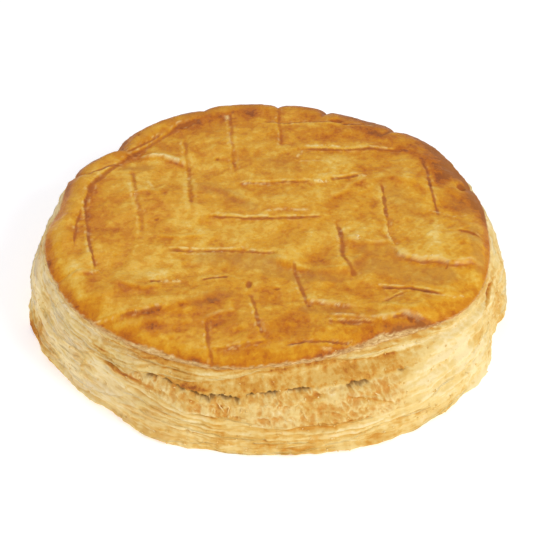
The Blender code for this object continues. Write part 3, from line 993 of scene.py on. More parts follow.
LOWER_LIP = (
    (228, 22.6), (234, 21.6), (240, 21.0), (246, 20.6), (249, 19.4), (252, 18.0), (258, 16.8),
    (264, 15.0), (268, 13.8), (274, 13.4), (282, 13.0), (290, 12.4), (298, 13.0), (302, 14.0),
)
UPPER_LIP = (
    (212, 24.6), (222, 23.9), (231, 24.2), (234, 25.0), (238, 26.6), (244, 28.3), (252, 28.4),
    (258, 29.8), (264, 31.6), (268, 33.2), (273, 34.2), (279, 34.4), (285, 34.1), (289, 33.2),
    (293, 31.8), (298, 30.9), (304, 30.4), (312, 29.7), (318, 27.6), (325, 27.1),
)
HOLES = (
    (245.2, 33.0, 1.2, 0.9, 0.0, 2.0),
    (230.6, 12.6, 0.6, 1.6, 0.0, 1.6),
    (253.0, 8.6, 1.0, 1.1, 0.0, 1.1),
    (269.6, 6.8, 1.1, 0.8, -1.0, 1.3),
    (304.6, 7.2, 2.9, 0.9, -0.25, 2.2),
    (322.0, 22.2, 1.0, 1.0, 0.3, 1.5),
    (327.5, 19.8, 2.2, 0.9, 0.5, 1.5),
    (319.0, 10.4, 1.8, 0.6, -0.6, 1.3),
    (316.4, 5.6, 0.8, 0.5, -0.3, 1.0),
    (281.5, 24.2, 2.2, 0.7, 0.0, 1.1),
    (203.5, 30.9, 2.6, 0.5, 0.0, 1.0),
    (200.0, 27.4, 6.0, 0.5, 0.0, 0.9),
    (204.5, 18.0, 3.0, 0.8, 0.1, 0.9),
    (202.5, 11.0, 5.0, 0.6, 0.5, 1.3),
    (336.0, 28.4, 10.0, 0.7, -0.04, 1.5),
    (346.0, 18.0, 2.0, 2.6, 0.3, 1.6),
    (333.0, 11.0, 1.6, 2.2, 0.3, 1.2),
    (236.0, 1.6, 1.4, 1.6, 0.0, 1.6),
    (62.0, 22.0, 22.0, 0.9, 0.04, 2.6),
    (96.0, 14.0, 12.0, 0.8, -0.05, 1.8),
    (140.0, 20.0, 18.0, 0.9, -0.06, 2.4),
    (18.0, 12.0, 9.0, 0.8, 0.1, 1.8),
    (118.0, 29.0, 8.0, 0.6, 0.0, 1.2),
    (168.0, 11.0, 10.0, 0.8, 0.06, 1.8),
    (40.0, 7.0, 4.0, 0.9, 0.1, 1.6),
    (154.0, 6.0, 5.0, 0.8, -0.1, 1.5),
)
print(len(HOLES), "holes and long slits")

# %% [markdown]
# ## Single leaves and browned sheets
#
# Most leaves of the side are noise, but a few can be told apart, such as the lips of the
# opening and the leaves that run far round the foot. Each of these is a line: how far the leaf
# swells out, how softly it falls back above the line, how dark the gap beside it is painted, and
# its angles and heights. Its edge is painted pale as a painted highlight, and the dark gap beside
# it is painted shade. A negative brown puts that gap on the other side of the line. The second
# list has the places where the side is painted browner, with angle, height, reach round, reach
# up and strength: mostly browning, and painted shade where an entry sits on a hole or slit.

# %% Leaves and browned places of the side
LEAF_EDGES = (
    (0.9, 2.2, 0.6, (215, 24.3), (222, 23.8), (231, 23.9), (234, 24.8), (238, 26.3), (244, 28.2),
     (250, 28.0)),
    (0.6, 1.4, 0.5, (250, 28.2), (258, 29.7), (264, 31.6), (268, 33.2), (273, 34.2), (279, 34.4),
     (286, 34.0)),
    (0.7, 1.4, 0.6, (285, 34.2), (289, 33.2), (293, 31.8), (298, 30.9), (304, 30.4), (312, 29.8),
     (318, 27.8)),
    (0.7, 1.2, 0.4, (222, 26.5), (228, 27.4), (233, 27.1), (238, 28.5), (243, 30.0)),
    (0.6, 1.0, 0.5, (235, 30.4), (240, 31.0), (244, 30.3), (247, 31.0), (252, 30.2), (258, 31.5),
     (264, 32.9)),
    (0.6, 1.0, 0.6, (224, 31.6), (232, 32.4), (241, 32.2), (249, 32.6), (257, 33.2), (266, 34.0)),
    (0.6, 1.0, 0.7, (288, 34.6), (296, 33.4), (303, 32.6), (312, 32.6), (319, 31.0)),
    (0.5, 1.0, 0.6, (296, 34.4), (305, 33.6), (314, 33.4), (322, 32.4)),
    (0.9, 1.6, 0.5, (231, 22.4), (236, 21.5), (240, 21.0), (246, 20.6), (249, 19.4), (252, 18.0),
     (257, 17.0), (265, 14.8)),
    (0.6, 1.2, 0.7, (236, 19.8), (242, 18.4), (247, 17.4), (252, 15.6), (258, 14.6), (264, 12.8)),
    (0.5, 1.0, 0.6, (240, 16.6), (247, 15.4), (252, 13.8), (257, 13.2), (263, 11.2)),
    (0.5, 1.2, 0.4, (236, 13.6), (244, 13.4), (250, 12.0), (256, 11.4), (262, 9.8), (270, 9.6)),
    (0.4, 0.9, 0.3, (262, 14.4), (267, 13.3), (274, 13.0), (281, 12.8), (288, 11.7)),
    (0.5, 1.0, 0.3, (266, 10.4), (276, 10.6), (286, 9.8), (296, 10.8), (304, 12.0)),
    (0.5, 1.0, 0.3, (262, 7.4), (272, 7.6), (282, 7.2), (292, 8.2), (302, 9.4)),
    (0.8, 1.6, 0.6, (286, 25.0), (290, 22.6), (294, 20.6), (297, 18.0), (299, 14.4)),
    (0.5, 1.2, 0.5, (248, 9.6), (252, 9.4), (256, 8.7), (260, 7.6)),
    (1.4, 1.0, 0.5, (234, 8.2), (237, 10.6), (239.5, 12.0), (242, 12.4)),
    (1.6, 1.1, 0.5, (222.6, 8.6), (226, 7.8), (230, 8.8), (234, 11.6), (238, 14.2)),
    (1.6, 1.1, -0.8, (224.6, 21.0), (223.4, 17.0), (222.6, 12.0), (222.8, 8.4)),
    (1.3, 1.2, 0.5, (223, 18.8), (227, 19.2), (230, 18.4), (236, 17.6), (241, 16.0)),
    (0.6, 1.8, 0.3, (216, 20.0), (222, 21.6), (230, 20.2), (236, 19.0)),
    (0.6, 1.4, 0.5, (194, 28.0), (200, 28.2), (206, 27.6), (214, 28.6)),
    (0.6, 1.4, 0.4, (192, 22.0), (200, 22.6), (208, 21.0), (216, 22.4)),
    (0.7, 2.0, 0.4, (196, 15.0), (203, 14.4), (210, 14.0), (216, 16.4), (222, 15.6)),
    (0.5, 1.4, 0.3, (206, 10.0), (212, 9.0), (218, 11.0), (222, 7.0)),
    (0.6, 1.6, 0.3, (208, 2.6), (214, 4.4), (219, 7.6)),
    (0.6, 2.0, 0.2, (300, 15.2), (308, 16.2), (314, 17.4), (320, 18.6), (326, 21.0)),
    (0.6, 2.0, 0.2, (302, 11.6), (310, 13.6), (316, 15.2), (324, 16.0), (334, 14.6)),
    (0.5, 2.0, 0.3, (308, 9.0), (314, 10.2), (319, 9.6), (326, 11.8), (336, 9.4)),
    (0.6, 2.0, 0.9, (322, 27.4), (329, 28.0), (336, 28.8), (343, 28.0), (348, 26.0)),
    (0.5, 1.6, 0.2, (306, 22.4), (312, 23.4), (318, 24.4), (326, 25.2)),
)
# Entries that sit on holes and slits paint them darker: painted shade.
SIDE_BROWNING_AND_SHADE = (
    (198, 2.0, 8, 7.0, 0.42),
    (204, 9.0, 4, 3.5, 0.35),
    (204.5, 18.2, 3, 1.2, 0.40),
    (185, 27.0, 6, 2.0, 0.35),
    (212, 7.0, 2, 1.4, 0.30),
    (226, 10.6, 3, 1.4, 0.38),
    (226, 16.0, 3, 2.0, 0.16),
    (234, 22.9, 5, 0.9, 0.62),
    (229, 26.0, 4, 1.0, 0.20),
    (254, 26.6, 6, 1.0, 0.35),
    (244, 22.0, 6, 1.0, 0.25),
    (256, 16.0, 5, 1.2, 0.25),
    (277, 12.4, 14, 1.3, 0.28),
    (258, 12.6, 6, 0.8, 0.22),
    (247, 5.4, 8, 2.4, 0.14),
    (293, 3.4, 3, 1.6, 0.30),
    (281, 24.2, 2, 0.8, 0.40),
    (281, 30.6, 8, 2.8, 0.08),
    (304.5, 7.2, 1.6, 0.8, 0.60),
    (339, 28.6, 5, 1.2, 0.50),
    (326, 19.8, 3, 1.6, 0.35),
    (345, 13.0, 7, 9.0, 0.30),
    (330, 1.0, 16, 3.0, -0.20),
    (20, 4.0, 12, 4.0, 0.40),
    (75, 3.0, 16, 4.0, 0.35),
    (128, 5.0, 12, 5.0, 0.40),
    (165, 3.0, 12, 4.0, 0.40),
)

print(len(LEAF_EDGES), "leaf edges and", len(SIDE_BROWNING_AND_SHADE), "browned places")


# %% Lines followed round the side
def follow(angle, line):
    """The height of a line round the side at these angles."""
    return np.interp(angle, *zip(*line))


def on_ring(angle):
    """Where noise is read for these angles: on a ring as wide as the side."""
    turn = np.radians(angle)
    return SIDE_RING * np.cos(turn), SIDE_RING * np.sin(turn)


def round_points(angle, radius, height):
    """Points from their angles, radii and heights."""
    turn = np.radians(angle)
    return np.stack([radius * np.cos(turn), radius * np.sin(turn), height], axis=-1)


def facing_out(angle, rise):
    """Arrows that point away from the cake's middle and a little up or down."""
    turn = np.radians(angle)
    return np.stack([np.cos(turn), np.sin(turn), rise + 0.0 * turn], axis=-1)


def leaf_sway(x, y):
    return 2.4 * broad(x, y, 0.0, 42.0)


def leaf_level(x, y, height):
    """The height counted along the wavy leaves instead of straight up."""
    return height + leaf_sway(x, y) + 1.3 * grain(x, y, height * 0.5, 13.0, 30)


def side_plain(angle, height, edge_height):
    """The side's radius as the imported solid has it, without the openings."""
    x, y = on_ring(angle)
    rim = rim_radius(angle)
    down = 1.0 - np.clip(height / edge_height, 0.0, 1.0) ** SIDE_FULLNESS
    radius = rim + (foot_radius(angle) - rim) * down
    radius -= 1.1 * bump(edge_height - 3.2 - height, 1.5)
    radius += 1.1 * bump(height - 1.6, 1.3)
    sheet = np.sin(2.0 * np.pi * (height + leaf_sway(x, y)) / 4.4)
    lumps = 1.5 * broad(x, y, height * 1.6, 19.0)
    fine = 0.7 * broad(x, y, height * 4.0, 9.0)
    fade = np.clip(np.minimum((edge_height - height) / 3.0, height / 2.0 + 0.25), 0.0, 1.0)
    return radius + fade * (0.3 * sheet + lumps + fine)


# %% [markdown]
# ## Zones
#
# The front of the side isn't one texture. Going down from the crust there are fine pressed
# leaves, then the crumbly honey band, the opening, the web of torn dough and closed leaves
# again. On the right the leaves have crumbled, so small lumps of rubble take their place.
# Each zone is a soft mask from 0 to 1, so that one can fade into the next.

# %% The zones of the side
def side_zones(angle, height):
    """How far each place belongs to the fine band, the honey band, the opening and the web."""
    middle = follow(angle, OPENING) + 0.6 * grain(angle, 0.0, 0.0, 1.3, 34)
    middle = middle + 0.45 * grain(angle, height * 0.2, 0.0, 0.6, 35)
    lower, upper = follow(angle, LOWER_LIP), follow(angle, UPPER_LIP)
    along = step(230.0, 238.0, angle) * step(303.0, 297.0, angle)
    band = step(-0.5, 0.3, height - upper) * step(212.0, 222.0, angle) * step(332.0, 318.0, angle)
    honey = step(-0.2, 1.0, height - middle) * step(0.4, -0.6, height - upper)
    honey *= step(240.0, 250.0, angle) * step(316.0, 302.0, angle)
    web = step(-0.6, 0.8, height - lower) * step(0.4, -0.8, height - middle) * along
    gape = follow(angle, GAPE)
    middle = middle + 0.35 * grain(angle, height * 0.3, 4.0, 0.3, 66)
    half = 0.10 + 0.75 * gape * (1.0 + 0.9 * grain(angle, height * 0.3, 9.0, 0.6, 36))
    slit = np.exp(-np.abs((height - middle) / np.maximum(half, 0.1)) ** 3) * step(0.15, 0.55, gape)
    patchy = step(-0.35, 0.45, grain(angle, height * 0.6, 2.0, 1.4, 58))
    shade = 0.5 * bump(height - middle - 0.2, 1.9) * patchy
    return band, honey, web, slit, shade * step(236.0, 242.0, angle) * step(304.0, 294.0, angle)


def leaf_edges(layer, around_x, around_y, seed):
    """One thin leaf after another: a saw profile whose teeth come and go round the cake."""
    number = np.floor(layer)
    part = layer - number
    strength = 0.35 + 0.95 * grain(around_x, around_y, number * 37.0, 14.0, seed)
    tooth = np.where(part < 0.72, part / 0.72, (1.0 - part) / 0.28)
    return np.clip(strength, 0.0, 1.2) * (tooth - 0.5)


def drawn_leaves(angle, height):
    """The leaf edges that can be told apart: their swell, the pale edge, which is a painted highlight, and
    the painted shade beside it.
    """
    swell, pale, shade_under = np.zeros((3,) + np.shape(angle))
    around = angle * ARC
    up = height + 0.35 * grain(around, height, 0.0, 6.0, 46) + 0.2 * grain(around, height, 0.0, 2.2, 47)
    for number, (rise, behind, brown, *line) in enumerate(LEAF_EDGES):
        points = [(a * ARC, z) for a, z in line]
        near = places_near(around, up, points, 3.0 * behind)
        if not near[0].size:
            continue
        gap, side, along = along_stroke(around[near], up[near], points)
        fade = ends(along, 0.2) * (0.8 + 0.5 * grain(around[near], 0.0, number, 5.0, 48))
        above, below = side > 0, side * brown < 0
        swell[near] += rise * fade * np.where(above, np.exp(-gap / behind), bump(gap, 0.4))
        pale[near] = np.maximum(pale[near], fade * bump(gap - 0.25, 0.55) * above)
        shade_under[near] = np.maximum(shade_under[near], abs(brown) * fade * bump(gap - 0.5, 0.55) * below)
    return swell, pale, shade_under


def side_surface(angle, height, edge_height):
    """The finished radius of the side and its marks: gap, leaf, hollow and crumbly."""
    x, y = on_ring(angle)
    fade = np.clip(np.minimum((edge_height - height) / 1.2, height + 0.2), 0.0, 1.0)
    band, honey, web, slit, shade = side_zones(angle, height)
    right = step(303.0, 318.0, angle)
    level = leaf_level(x, y, height) + 0.5 * grain(x, y, height, 4.0, 31)
    fine_leaves = leaf_edges(level / 1.15, x, y, 32)
    wide_leaves = leaf_edges(level / 3.1 + 0.3, x, y, 33)
    radius = side_plain(angle, height, edge_height)
    left = step(236.0, 224.0, angle) * step(150.0, 185.0, angle)
    calm = fade * (1.0 - 0.9 * np.maximum(web, honey)) * (1.0 - 0.65 * right) * (1.0 + 0.6 * left)
    radius = radius + calm * ((0.28 + 0.14 * band) * fine_leaves + 0.7 * (1.0 - 0.6 * band) * wide_leaves)
    radius = radius + fade * right * 0.9 * grain(x * 0.6 + height * 0.4, y * 0.6, height, 6.5, 49)
    rubble = 0.42 * grain(x, y, height * 0.6, 2.8, 65) + 0.22 * grain(x, y, height, 1.4, 69)
    radius = radius + fade * right * rubble
    swell, pale, shade_under = drawn_leaves(angle, height)
    pale = pale * (1.0 - 0.5 * band)
    radius = radius + fade * swell * (1.0 - 0.3 * band)
    # The honey band is crumbly, like the inside of a brioche.
    radius = radius + 0.30 * band * grain(x * 0.4, y * 0.4, height * 1.4, 1.1, 42)
    crumbs = grain(x, y, height * 0.8, 2.4, 38) + 0.8 * grain(x, y, height, 1.3, 39)
    radius = radius + honey * (0.26 * crumbs - 0.1)
    # Under the opening the dough is a web: pale ridges that hang down, with hollows between.
    slant = x + 0.3 * height + 1.2 * grain(x, y, height, 5.0, 67)
    strands = np.abs(grain(slant, y, height * 0.7, 2.6, 36))
    strands = strands + 0.4 * np.abs(grain(slant, y, height * 0.9, 1.3, 37))
    hollow = np.clip(strands * 2.4 - 0.25, 0.0, 1.0) * step(-0.8, 0.1, grain(x, y, height, 6.0, 68))
    radius = radius + web * (0.4 - 0.5 * hollow + 0.6 * grain(x, y, height * 0.6, 5.0, 59))
    # Low on the side the cut edge has crumbled into short upright ridges.
    crumbled = step(11.0, 7.0, height) * (1.0 - web) * (1.0 - 0.7 * right)
    radius = radius + crumbled * 0.4 * grain(x, y, height * 0.5, 2.6, 43)
    radius = radius + fade * (0.12 * grain(x, y, height, 1.3, 40) + 0.4 * grain(x, y, height, 5.0, 44))
    slits = step(0.52, 0.8, grain(x * 0.5, y * 0.5, height * 1.5, 3.2, 41)) * calm
    # The gap mark paints the opening, the shade beside it and the slits dark: painted shade.
    gap = np.maximum(np.maximum(slit, shade), 0.3 * slits)
    radius = radius - 0.6 * slits - slit * (1.2 + 1.1 * follow(angle, GAPE))
    for hole_angle, hole_height, half_long, half_tall, slope, depth in HOLES:
        across = turn_between(angle, hole_angle) * ARC
        rise = height - hole_height - slope * across + 0.5 * grain(x, y, 0.0, 3.5, 45)
        hole = np.exp(-(((across / half_long) ** 2 + (rise / half_tall) ** 2) ** 1.4))
        radius = radius - depth * hole
        # Holes are painted dark too: painted shade.
        gap = np.maximum(gap, min(1.0, 0.2 + 0.22 * depth) * hole)
    # The foot is a little scalloped, and drawn in where the side has lifted off the tray.
    low = step(5.0, 0.0, height)
    radius = radius + low * (0.7 * grain(x, y, 0.0, 6.0, 57) - 1.5 * near_angle(angle, 232.0, 4.0))
    # The leaf mark is painted light and shade: edges that stand out, the drawn pale edges and the rubble
    # lumps are painted paler, the crevices darker.
    leaf = 0.5 + calm * (0.5 * fine_leaves + 0.6 * wide_leaves) + 0.5 * pale
    leaf = np.clip(leaf + 0.55 * web * (0.3 - hollow) + 0.4 * honey * crumbs, 0.0, 1.0)
    crumbly = np.maximum(np.maximum(honey, 0.7 * web), np.maximum(0.5 * right, 0.6 * band))
    return radius, gap, leaf + 0.5 * right * rubble, web * hollow, crumbly


def side_browning_and_light(angle, height, edge_height):
    """How much browner the side is painted: browning at the foot, in the honey band and along a few sheets,
    with painted shade beside leaf edges, beneath the crust and in a few holes, and painted light on the left.
    """
    x, y = on_ring(angle)
    level = leaf_level(x, y, height)
    band, honey, web, slit, shade = side_zones(angle, height)
    swell, pale, shade_under = drawn_leaves(angle, height)
    brown = 0.27 + 0.24 * grain(x, y, height * 1.6, 15.0, 50) + 0.13 * grain(x * 0.4, y * 0.4, level, 1.4, 51)
    # The gaps beside the drawn leaf edges are painted browner: painted shade.
    brown += 0.13 * grain(x, y, height * 0.5, 3.2, 53) * step(12.0, 6.0, height) + 0.38 * shade_under
    for centre, middle, wide, tall, strength in SIDE_BROWNING_AND_SHADE:
        ragged = 0.6 * tall * grain(x, y, height, 4.0, 56)
        brown += strength * near_angle(angle, centre, wide) * bump(height - middle + ragged, tall)
    brown += 0.26 * honey * (1.0 + 0.6 * grain(x, y, height, 3.4, 54)) + 0.10 * web
    # The left side is painted lighter: painted light.
    brown -= 0.07 * step(236.0, 224.0, angle) * step(150.0, 185.0, angle)
    pressed = height - follow(angle, UPPER_LIP) + 0.35 * grain(x, y, 0.0, 5.0, 55)
    brown += band * (0.08 * np.sin(2.0 * np.pi * pressed / 1.25 + 2.0 * grain(x, y, height, 7.0, 76)) + 0.04)
    foot = 0.25 * bump(height - 1.0, 2.0) * step(0.1, 0.5, grain(x, y, 0.0, 13.0, 52))
    brown += foot * (1.0 - 0.8 * step(296.0, 310.0, angle))
    # Just beneath the crust's edge the side is painted browner: partly browning, partly painted shade.
    brown += 0.12 * bump(edge_height - 0.8 - height, 1.0)
    brown += 0.07 * band * step(222.0, 232.0, angle) * step(272.0, 258.0, angle)
    brown += 0.14 * step(11.0, 2.0, height) * step(238.0, 250.0, angle) * step(300.0, 285.0, angle)
    brown -= 0.12 * step(300.0, 325.0, angle) * step(334.0, 318.0, angle)
    lower_front = step(14.0, 10.0, height) * step(238.0, 246.0, angle) * step(306.0, 296.0, angle)
    brown += lower_front * (0.05 + 0.16 * grain(x * 0.4, y * 0.4, level, 0.9, 77))
    return np.clip(brown, 0.0, 1.0)


# %% Build the side
SIDE_COLUMNS = 860
SIDE_ROWS = 110


def edge_height_at(angle):
    """The height of the crust's underside at these angles."""
    rim = rim_radius(angle)
    turn = np.radians(angle)
    return crust_height(rim * np.cos(turn), rim * np.sin(turn)) - 0.5


# The columns stand closer together where the side has torn open.
side_turn = np.arange(SIDE_COLUMNS) / SIDE_COLUMNS
side_angle = (268.0 + 360.0 * side_turn - 16.0 * np.sin(2.0 * np.pi * side_turn)) % 360.0
side_edge = edge_height_at(side_angle)
wall_shape = (SIDE_ROWS + 1, SIDE_COLUMNS)
wall_angle = np.broadcast_to(side_angle, wall_shape)
wall_edge = np.broadcast_to(side_edge, wall_shape)
wall_height = side_edge[None, :] * np.linspace(1.0, 0.0, SIDE_ROWS + 1)[:, None]
wall_radius, gap, leaf, hollow, crumbly = side_surface(wall_angle, wall_height, wall_edge)
wall_radius = wall_radius - step(1.6, 0.0, wall_edge - wall_height)
wall = round_points(wall_angle, wall_radius, wall_height)

index = np.arange(wall_angle.size).reshape(wall_shape)
after = np.roll(index, -1, axis=1)
side_faces = np.stack([index[:-1], index[1:], after[1:], after[:-1]], axis=-1).reshape(-1, 4).tolist()
side_faces += [[wall_angle.size, a, b] for a, b in zip(index[0], after[0])]
side_faces += [[wall_angle.size + 1, b, a] for a, b in zip(index[-1], after[-1])]
side_points = np.concatenate([wall.reshape(-1, 3), [[0, 0, RIM_HEIGHT - 5.0], [0, 0, 0]]])


def with_ends(values, end=0.0):
    return np.concatenate([np.ravel(values), [end, end]])


side_marks = {
    "gap": with_ends(gap),
    "leaf": with_ends(leaf, 0.5),
    "hollow": with_ends(hollow),
    "crumbly": with_ends(crumbly),
    "browning_and_painted_light": with_ends(side_browning_and_light(wall_angle, wall_height, wall_edge), 0.6),
}
side = report(make_piece("flaky_side", side_points, side_faces, side_marks, leaf_finish))

# %% [markdown]
# ## Curled leaves, threads and flakes
#
# A wall of pushed points cannot overhang, and real leaves do: they stand out like thin shelves
# with shadow under them. So each leaf, and each thread of dough that bridges the opening, is a
# thin shape swept along its own path by Geometry Nodes. The paths are plain polylines that
# carry, at each point, how thick the shape is there and which way it leans.
# The same tree makes the flat leaves and the round threads, with other sizes.

# %% The sweeping tree
def named_inputs(tree, entries):
    """Adds float inputs to a tree and returns their identifiers by name."""
    found = {}
    for name, value in entries.items():
        socket = tree.interface.new_socket(name=name, in_out="INPUT", socket_type="NodeSocketFloat")
        socket.default_value = value
        found[name] = socket.identifier
    return found


def start_tree(name, entries):
    """A Geometry Nodes tree with a geometry input and output and these named sizes."""
    tree = bpy.data.node_groups.new(name, "GeometryNodeTree")
    tree.interface.new_socket(name="Geometry", in_out="INPUT", socket_type="NodeSocketGeometry")
    tree.interface.new_socket(name="Geometry", in_out="OUTPUT", socket_type="NodeSocketGeometry")
    found = named_inputs(tree, entries)
    given = tree.nodes.new("NodeGroupInput")
    sockets = {socket.name: Wire(tree, socket) for socket in given.outputs if socket.name}
    return tree, Wire(tree), sockets, found


def end_tree(wire, shape, finish_of):
    """Realizes the shape, gives it its material and joins it to the tree's output."""
    smooth = wire.node("GeometryNodeSetShadeSmooth", Geometry=shape, Shade_Smooth=True)
    real = wire.node("GeometryNodeRealizeInstances", Geometry=smooth)
    real = wire.node("GeometryNodeSetMaterial", Geometry=real, Material=finish_of)
    result = wire.tree.nodes.new("NodeGroupOutput")
    wire.tree.links.new(real.socket, result.inputs[0])


def sweep_tree(name, finish_of, width, thickness):
    """A tree that sweeps a flat, thin-edged section along every line of a mesh."""
    sizes = {"Half width": width, "Half thickness": thickness, "Fray": 0.25 * MM, "Fray size": 700.0}
    tree, wire, given, found = start_tree(name, sizes)
    curve = wire.node("GeometryNodeMeshToCurve", Mesh=given["Geometry"])
    arrow = {"data_type": "FLOAT_VECTOR"}
    lean = wire.node("GeometryNodeInputNamedAttribute", settings=arrow, Name="lean")
    curve = wire.node("GeometryNodeSetCurveNormal", settings={"mode": "FREE"}, Curve=curve, Normal=lean)
    section = wire.node("GeometryNodeCurvePrimitiveCircle", Resolution=6, Radius=1.0)
    across = wire.node("ShaderNodeSeparateXYZ", Vector=wire.node("GeometryNodeInputPosition"))
    # Each leaf's outer edge is painted paler than its root: painted light.
    painted_edge_light = across * 0.3 + 0.55
    section = wire.node("GeometryNodeStoreNamedAttribute", Geometry=section, Name="leaf", Value=painted_edge_light)
    size = wire.node("ShaderNodeCombineXYZ", X=given["Half width"], Y=given["Half thickness"], Z=1.0)
    section = wire.node("GeometryNodeTransform", Geometry=section, Scale=size)
    thick = wire.node("GeometryNodeInputNamedAttribute", settings={"data_type": "FLOAT"}, Name="thick")
    swept = wire.node("GeometryNodeCurveToMesh", Curve=curve, i1=section, Scale=thick, Fill_Caps=True)
    place = wire.node("GeometryNodeInputPosition")
    rough = wire.node("ShaderNodeTexNoise", output=1, Vector=place, Scale=given["Fray size"])
    less, times = {"operation": "SUBTRACT"}, {"operation": "SCALE"}
    centred = wire.node("ShaderNodeVectorMath", settings=less, i0=rough, i1=(0.5, 0.5, 0.5))
    shaken = wire.node("ShaderNodeVectorMath", settings=times, i0=centred, i3=given["Fray"] * 3.0)
    frayed = wire.node("GeometryNodeSetPosition", Geometry=swept, Offset=shaken)
    end_tree(wire, frayed, finish_of)
    return tree, found


def grown(name, paths, tree, values):
    """Runs a tree over the paths and returns the plain mesh that it makes."""
    points, lean, thick, browning_and_painted_light = (np.concatenate(part) for part in zip(*paths))
    edges, start = [], 0
    for path in paths:
        count = len(path[0])
        edges += [(start + k, start + k + 1) for k in range(count - 1)]
        start += count
    marks = {"lean": lean, "thick": thick, "browning_and_painted_light": browning_and_painted_light}
    guide = make_piece(name + "_paths", points, [], marks, leaf_finish, edges)
    return baked(name, guide, tree, values)


def baked(name, guide, tree, values):
    """Applies a tree to a guide, keeps the result as a plain mesh and removes the guide."""
    group, found = tree
    modifier = guide.modifiers.new("grow", "NODES")
    modifier.node_group = group
    for label, value in values.items():
        modifier[found[label]] = value
    graph = bpy.context.evaluated_depsgraph_get()
    mesh = bpy.data.meshes.new_from_object(guide.evaluated_get(graph))
    mesh.name = name
    bpy.data.objects.remove(guide)
    return report(put_in_scene(name, mesh))


# %% Leaf paths
LEAF_HALF_WIDTH = 1.9


def wall_points(angle, height, stand):
    """Points on the side, standing out from it by so many millimetres."""
    edge_height = edge_height_at(angle)
    return round_points(angle, side_plain(angle, height, edge_height) + stand, height)


def leaf_path(line, stand, droop, seed, size=1.0):
    """One leaf along a line of angle and height: its points, its lean and its thickness."""
    start, stop = line[0][0], line[-1][0]
    count = max(8, int((stop - start) * ARC / 1.6))
    angle = np.linspace(start, stop, count)
    share = np.linspace(0.0, 1.0, count)
    around = angle * ARC
    height = follow(angle, line) + 0.35 * grain(around, seed * 9.1, 0.0, 8.0, 60)
    height = height + 0.18 * grain(around, seed * 9.1, 0.0, 2.6, 61)
    edge_height = edge_height_at(angle % 360.0)
    height = np.clip(height, 0.35, edge_height - 0.9)
    reach = ends(share, 0.2) * (0.75 + 0.5 * grain(around, seed * 7.3, 0.0, 6.0, 62))
    out = stand * reach - LEAF_HALF_WIDTH * size + 0.3 * grain(around, seed * 5.7, 0.0, 2.2, 63)
    lean = facing_out(angle, droop + 0.35 * grain(around, seed * 3.9, 0.0, 7.0, 64))
    thick = size * (0.35 + 0.65 * ends(share, 0.15))
    browning_and_painted_light = side_browning_and_light(angle % 360.0, height, edge_height) + 0.12 * math.sin(seed * 2.3)
    return wall_points(angle % 360.0, height, out), lean, thick, browning_and_painted_light


# %% Leaves that can be told apart
NAMED_LEAVES = (
    (0.7, 0.05, 0.55, UPPER_LIP[:11]),
    (0.8, 0.10, 0.8, LOWER_LIP[1:]),
    (0.9, 0.00, 0.7, ((237, 31.2), (244, 30.8), (249, 30.2), (254, 30.6))),
    (0.9, 0.00, 0.8, ((233, 15.0), (242, 15.8), (250, 14.8), (257, 12.6), (262, 11.6))),
    (0.9, -0.1, 0.8, ((237, 12.4), (246, 11.0), (252, 10.6), (258, 9.5), (266, 8.6), (276, 8.8))),
    (1.0, 0.0, 0.8, ((196, 28.6), (203, 31.2), (210, 30.4), (218, 30.2), (228, 30.6))),
    (1.0, 0.1, 0.8, ((206, 24.0), (214, 25.6), (222, 25.0), (229, 24.6))),
    (1.0, 0.1, 0.9, ((199, 17.6), (206, 20.4), (212, 19.4), (220, 21.0), (228, 20.8))),
    (0.9, -0.1, 0.9, ((222.6, 8.2), (226, 7.4), (230, 8.2), (234, 10.8), (238, 13.2))),
    (1.0, 0.1, 0.8, ((287, 24.6), (290, 22.4), (294, 20.4), (297, 17.8), (299, 14.2))),
    (0.8, 0.0, 0.8, ((302, 11.4), (308, 13.0), (316, 15.2), (326, 17.0), (338, 16.0))),
    (0.9, -0.1, 0.8, ((299, 8.2), (302, 8.6), (305, 8.0), (308, 7.2))),
)


def band_leaves():
    """The fine leaves pressed together between the upper lip and the crust."""
    made = []
    for number, share in enumerate((0.2, 0.4, 0.6, 0.8)):
        for start, stop in ((218, 262), (284, 326)):
            line = []
            for angle in np.arange(start + 2 * number, stop - 3 * number, 4.0):
                top = float(edge_height_at(np.array([angle]))[0]) - 1.4
                bottom = float(follow(angle, UPPER_LIP))
                line.append((angle, bottom + share * (top - bottom)))
            made.append(leaf_path(line, 0.6 - 0.1 * number, 0.05, 200 + number + start, 0.45))
    return made


def loose_leaves(count, seed):
    """Leaves of many lengths at random places, thinner on the ground where named ones lie."""
    draw = np.random.default_rng(seed)
    made = []
    while len(made) < count:
        start = draw.uniform(0.0, 360.0)
        length = draw.uniform(9.0, 34.0)
        base = draw.uniform(1.0, 32.5)
        slant, bow = draw.normal(0.0, 2.2), draw.normal(0.0, 1.2)
        stand, droop = draw.uniform(0.2, 1.3), draw.normal(0.0, 0.25)
        size = draw.uniform(0.6, 1.05)
        middle = (start + length / 2.0) % 360.0
        busy = 226.0 < middle < 306.0
        calm = 296.0 < middle < 352.0
        if busy and (base > 11.0 or draw.random() < 0.5) or calm and draw.random() < 0.85:
            continue
        angles = np.linspace(start, start + length, 6)
        share = np.linspace(-1.0, 1.0, 6)
        turns = [math.radians(angle) for angle in angles]
        sway = [float(leaf_sway(SIDE_RING * math.cos(turn), SIDE_RING * math.sin(turn))) for turn in turns]
        heights = base - np.array(sway) + sway[0] + slant * share + bow * share**2
        made.append(leaf_path(list(zip(angles, heights)), stand, droop, len(made), size))
    return made


LOOSE_LEAVES = 160

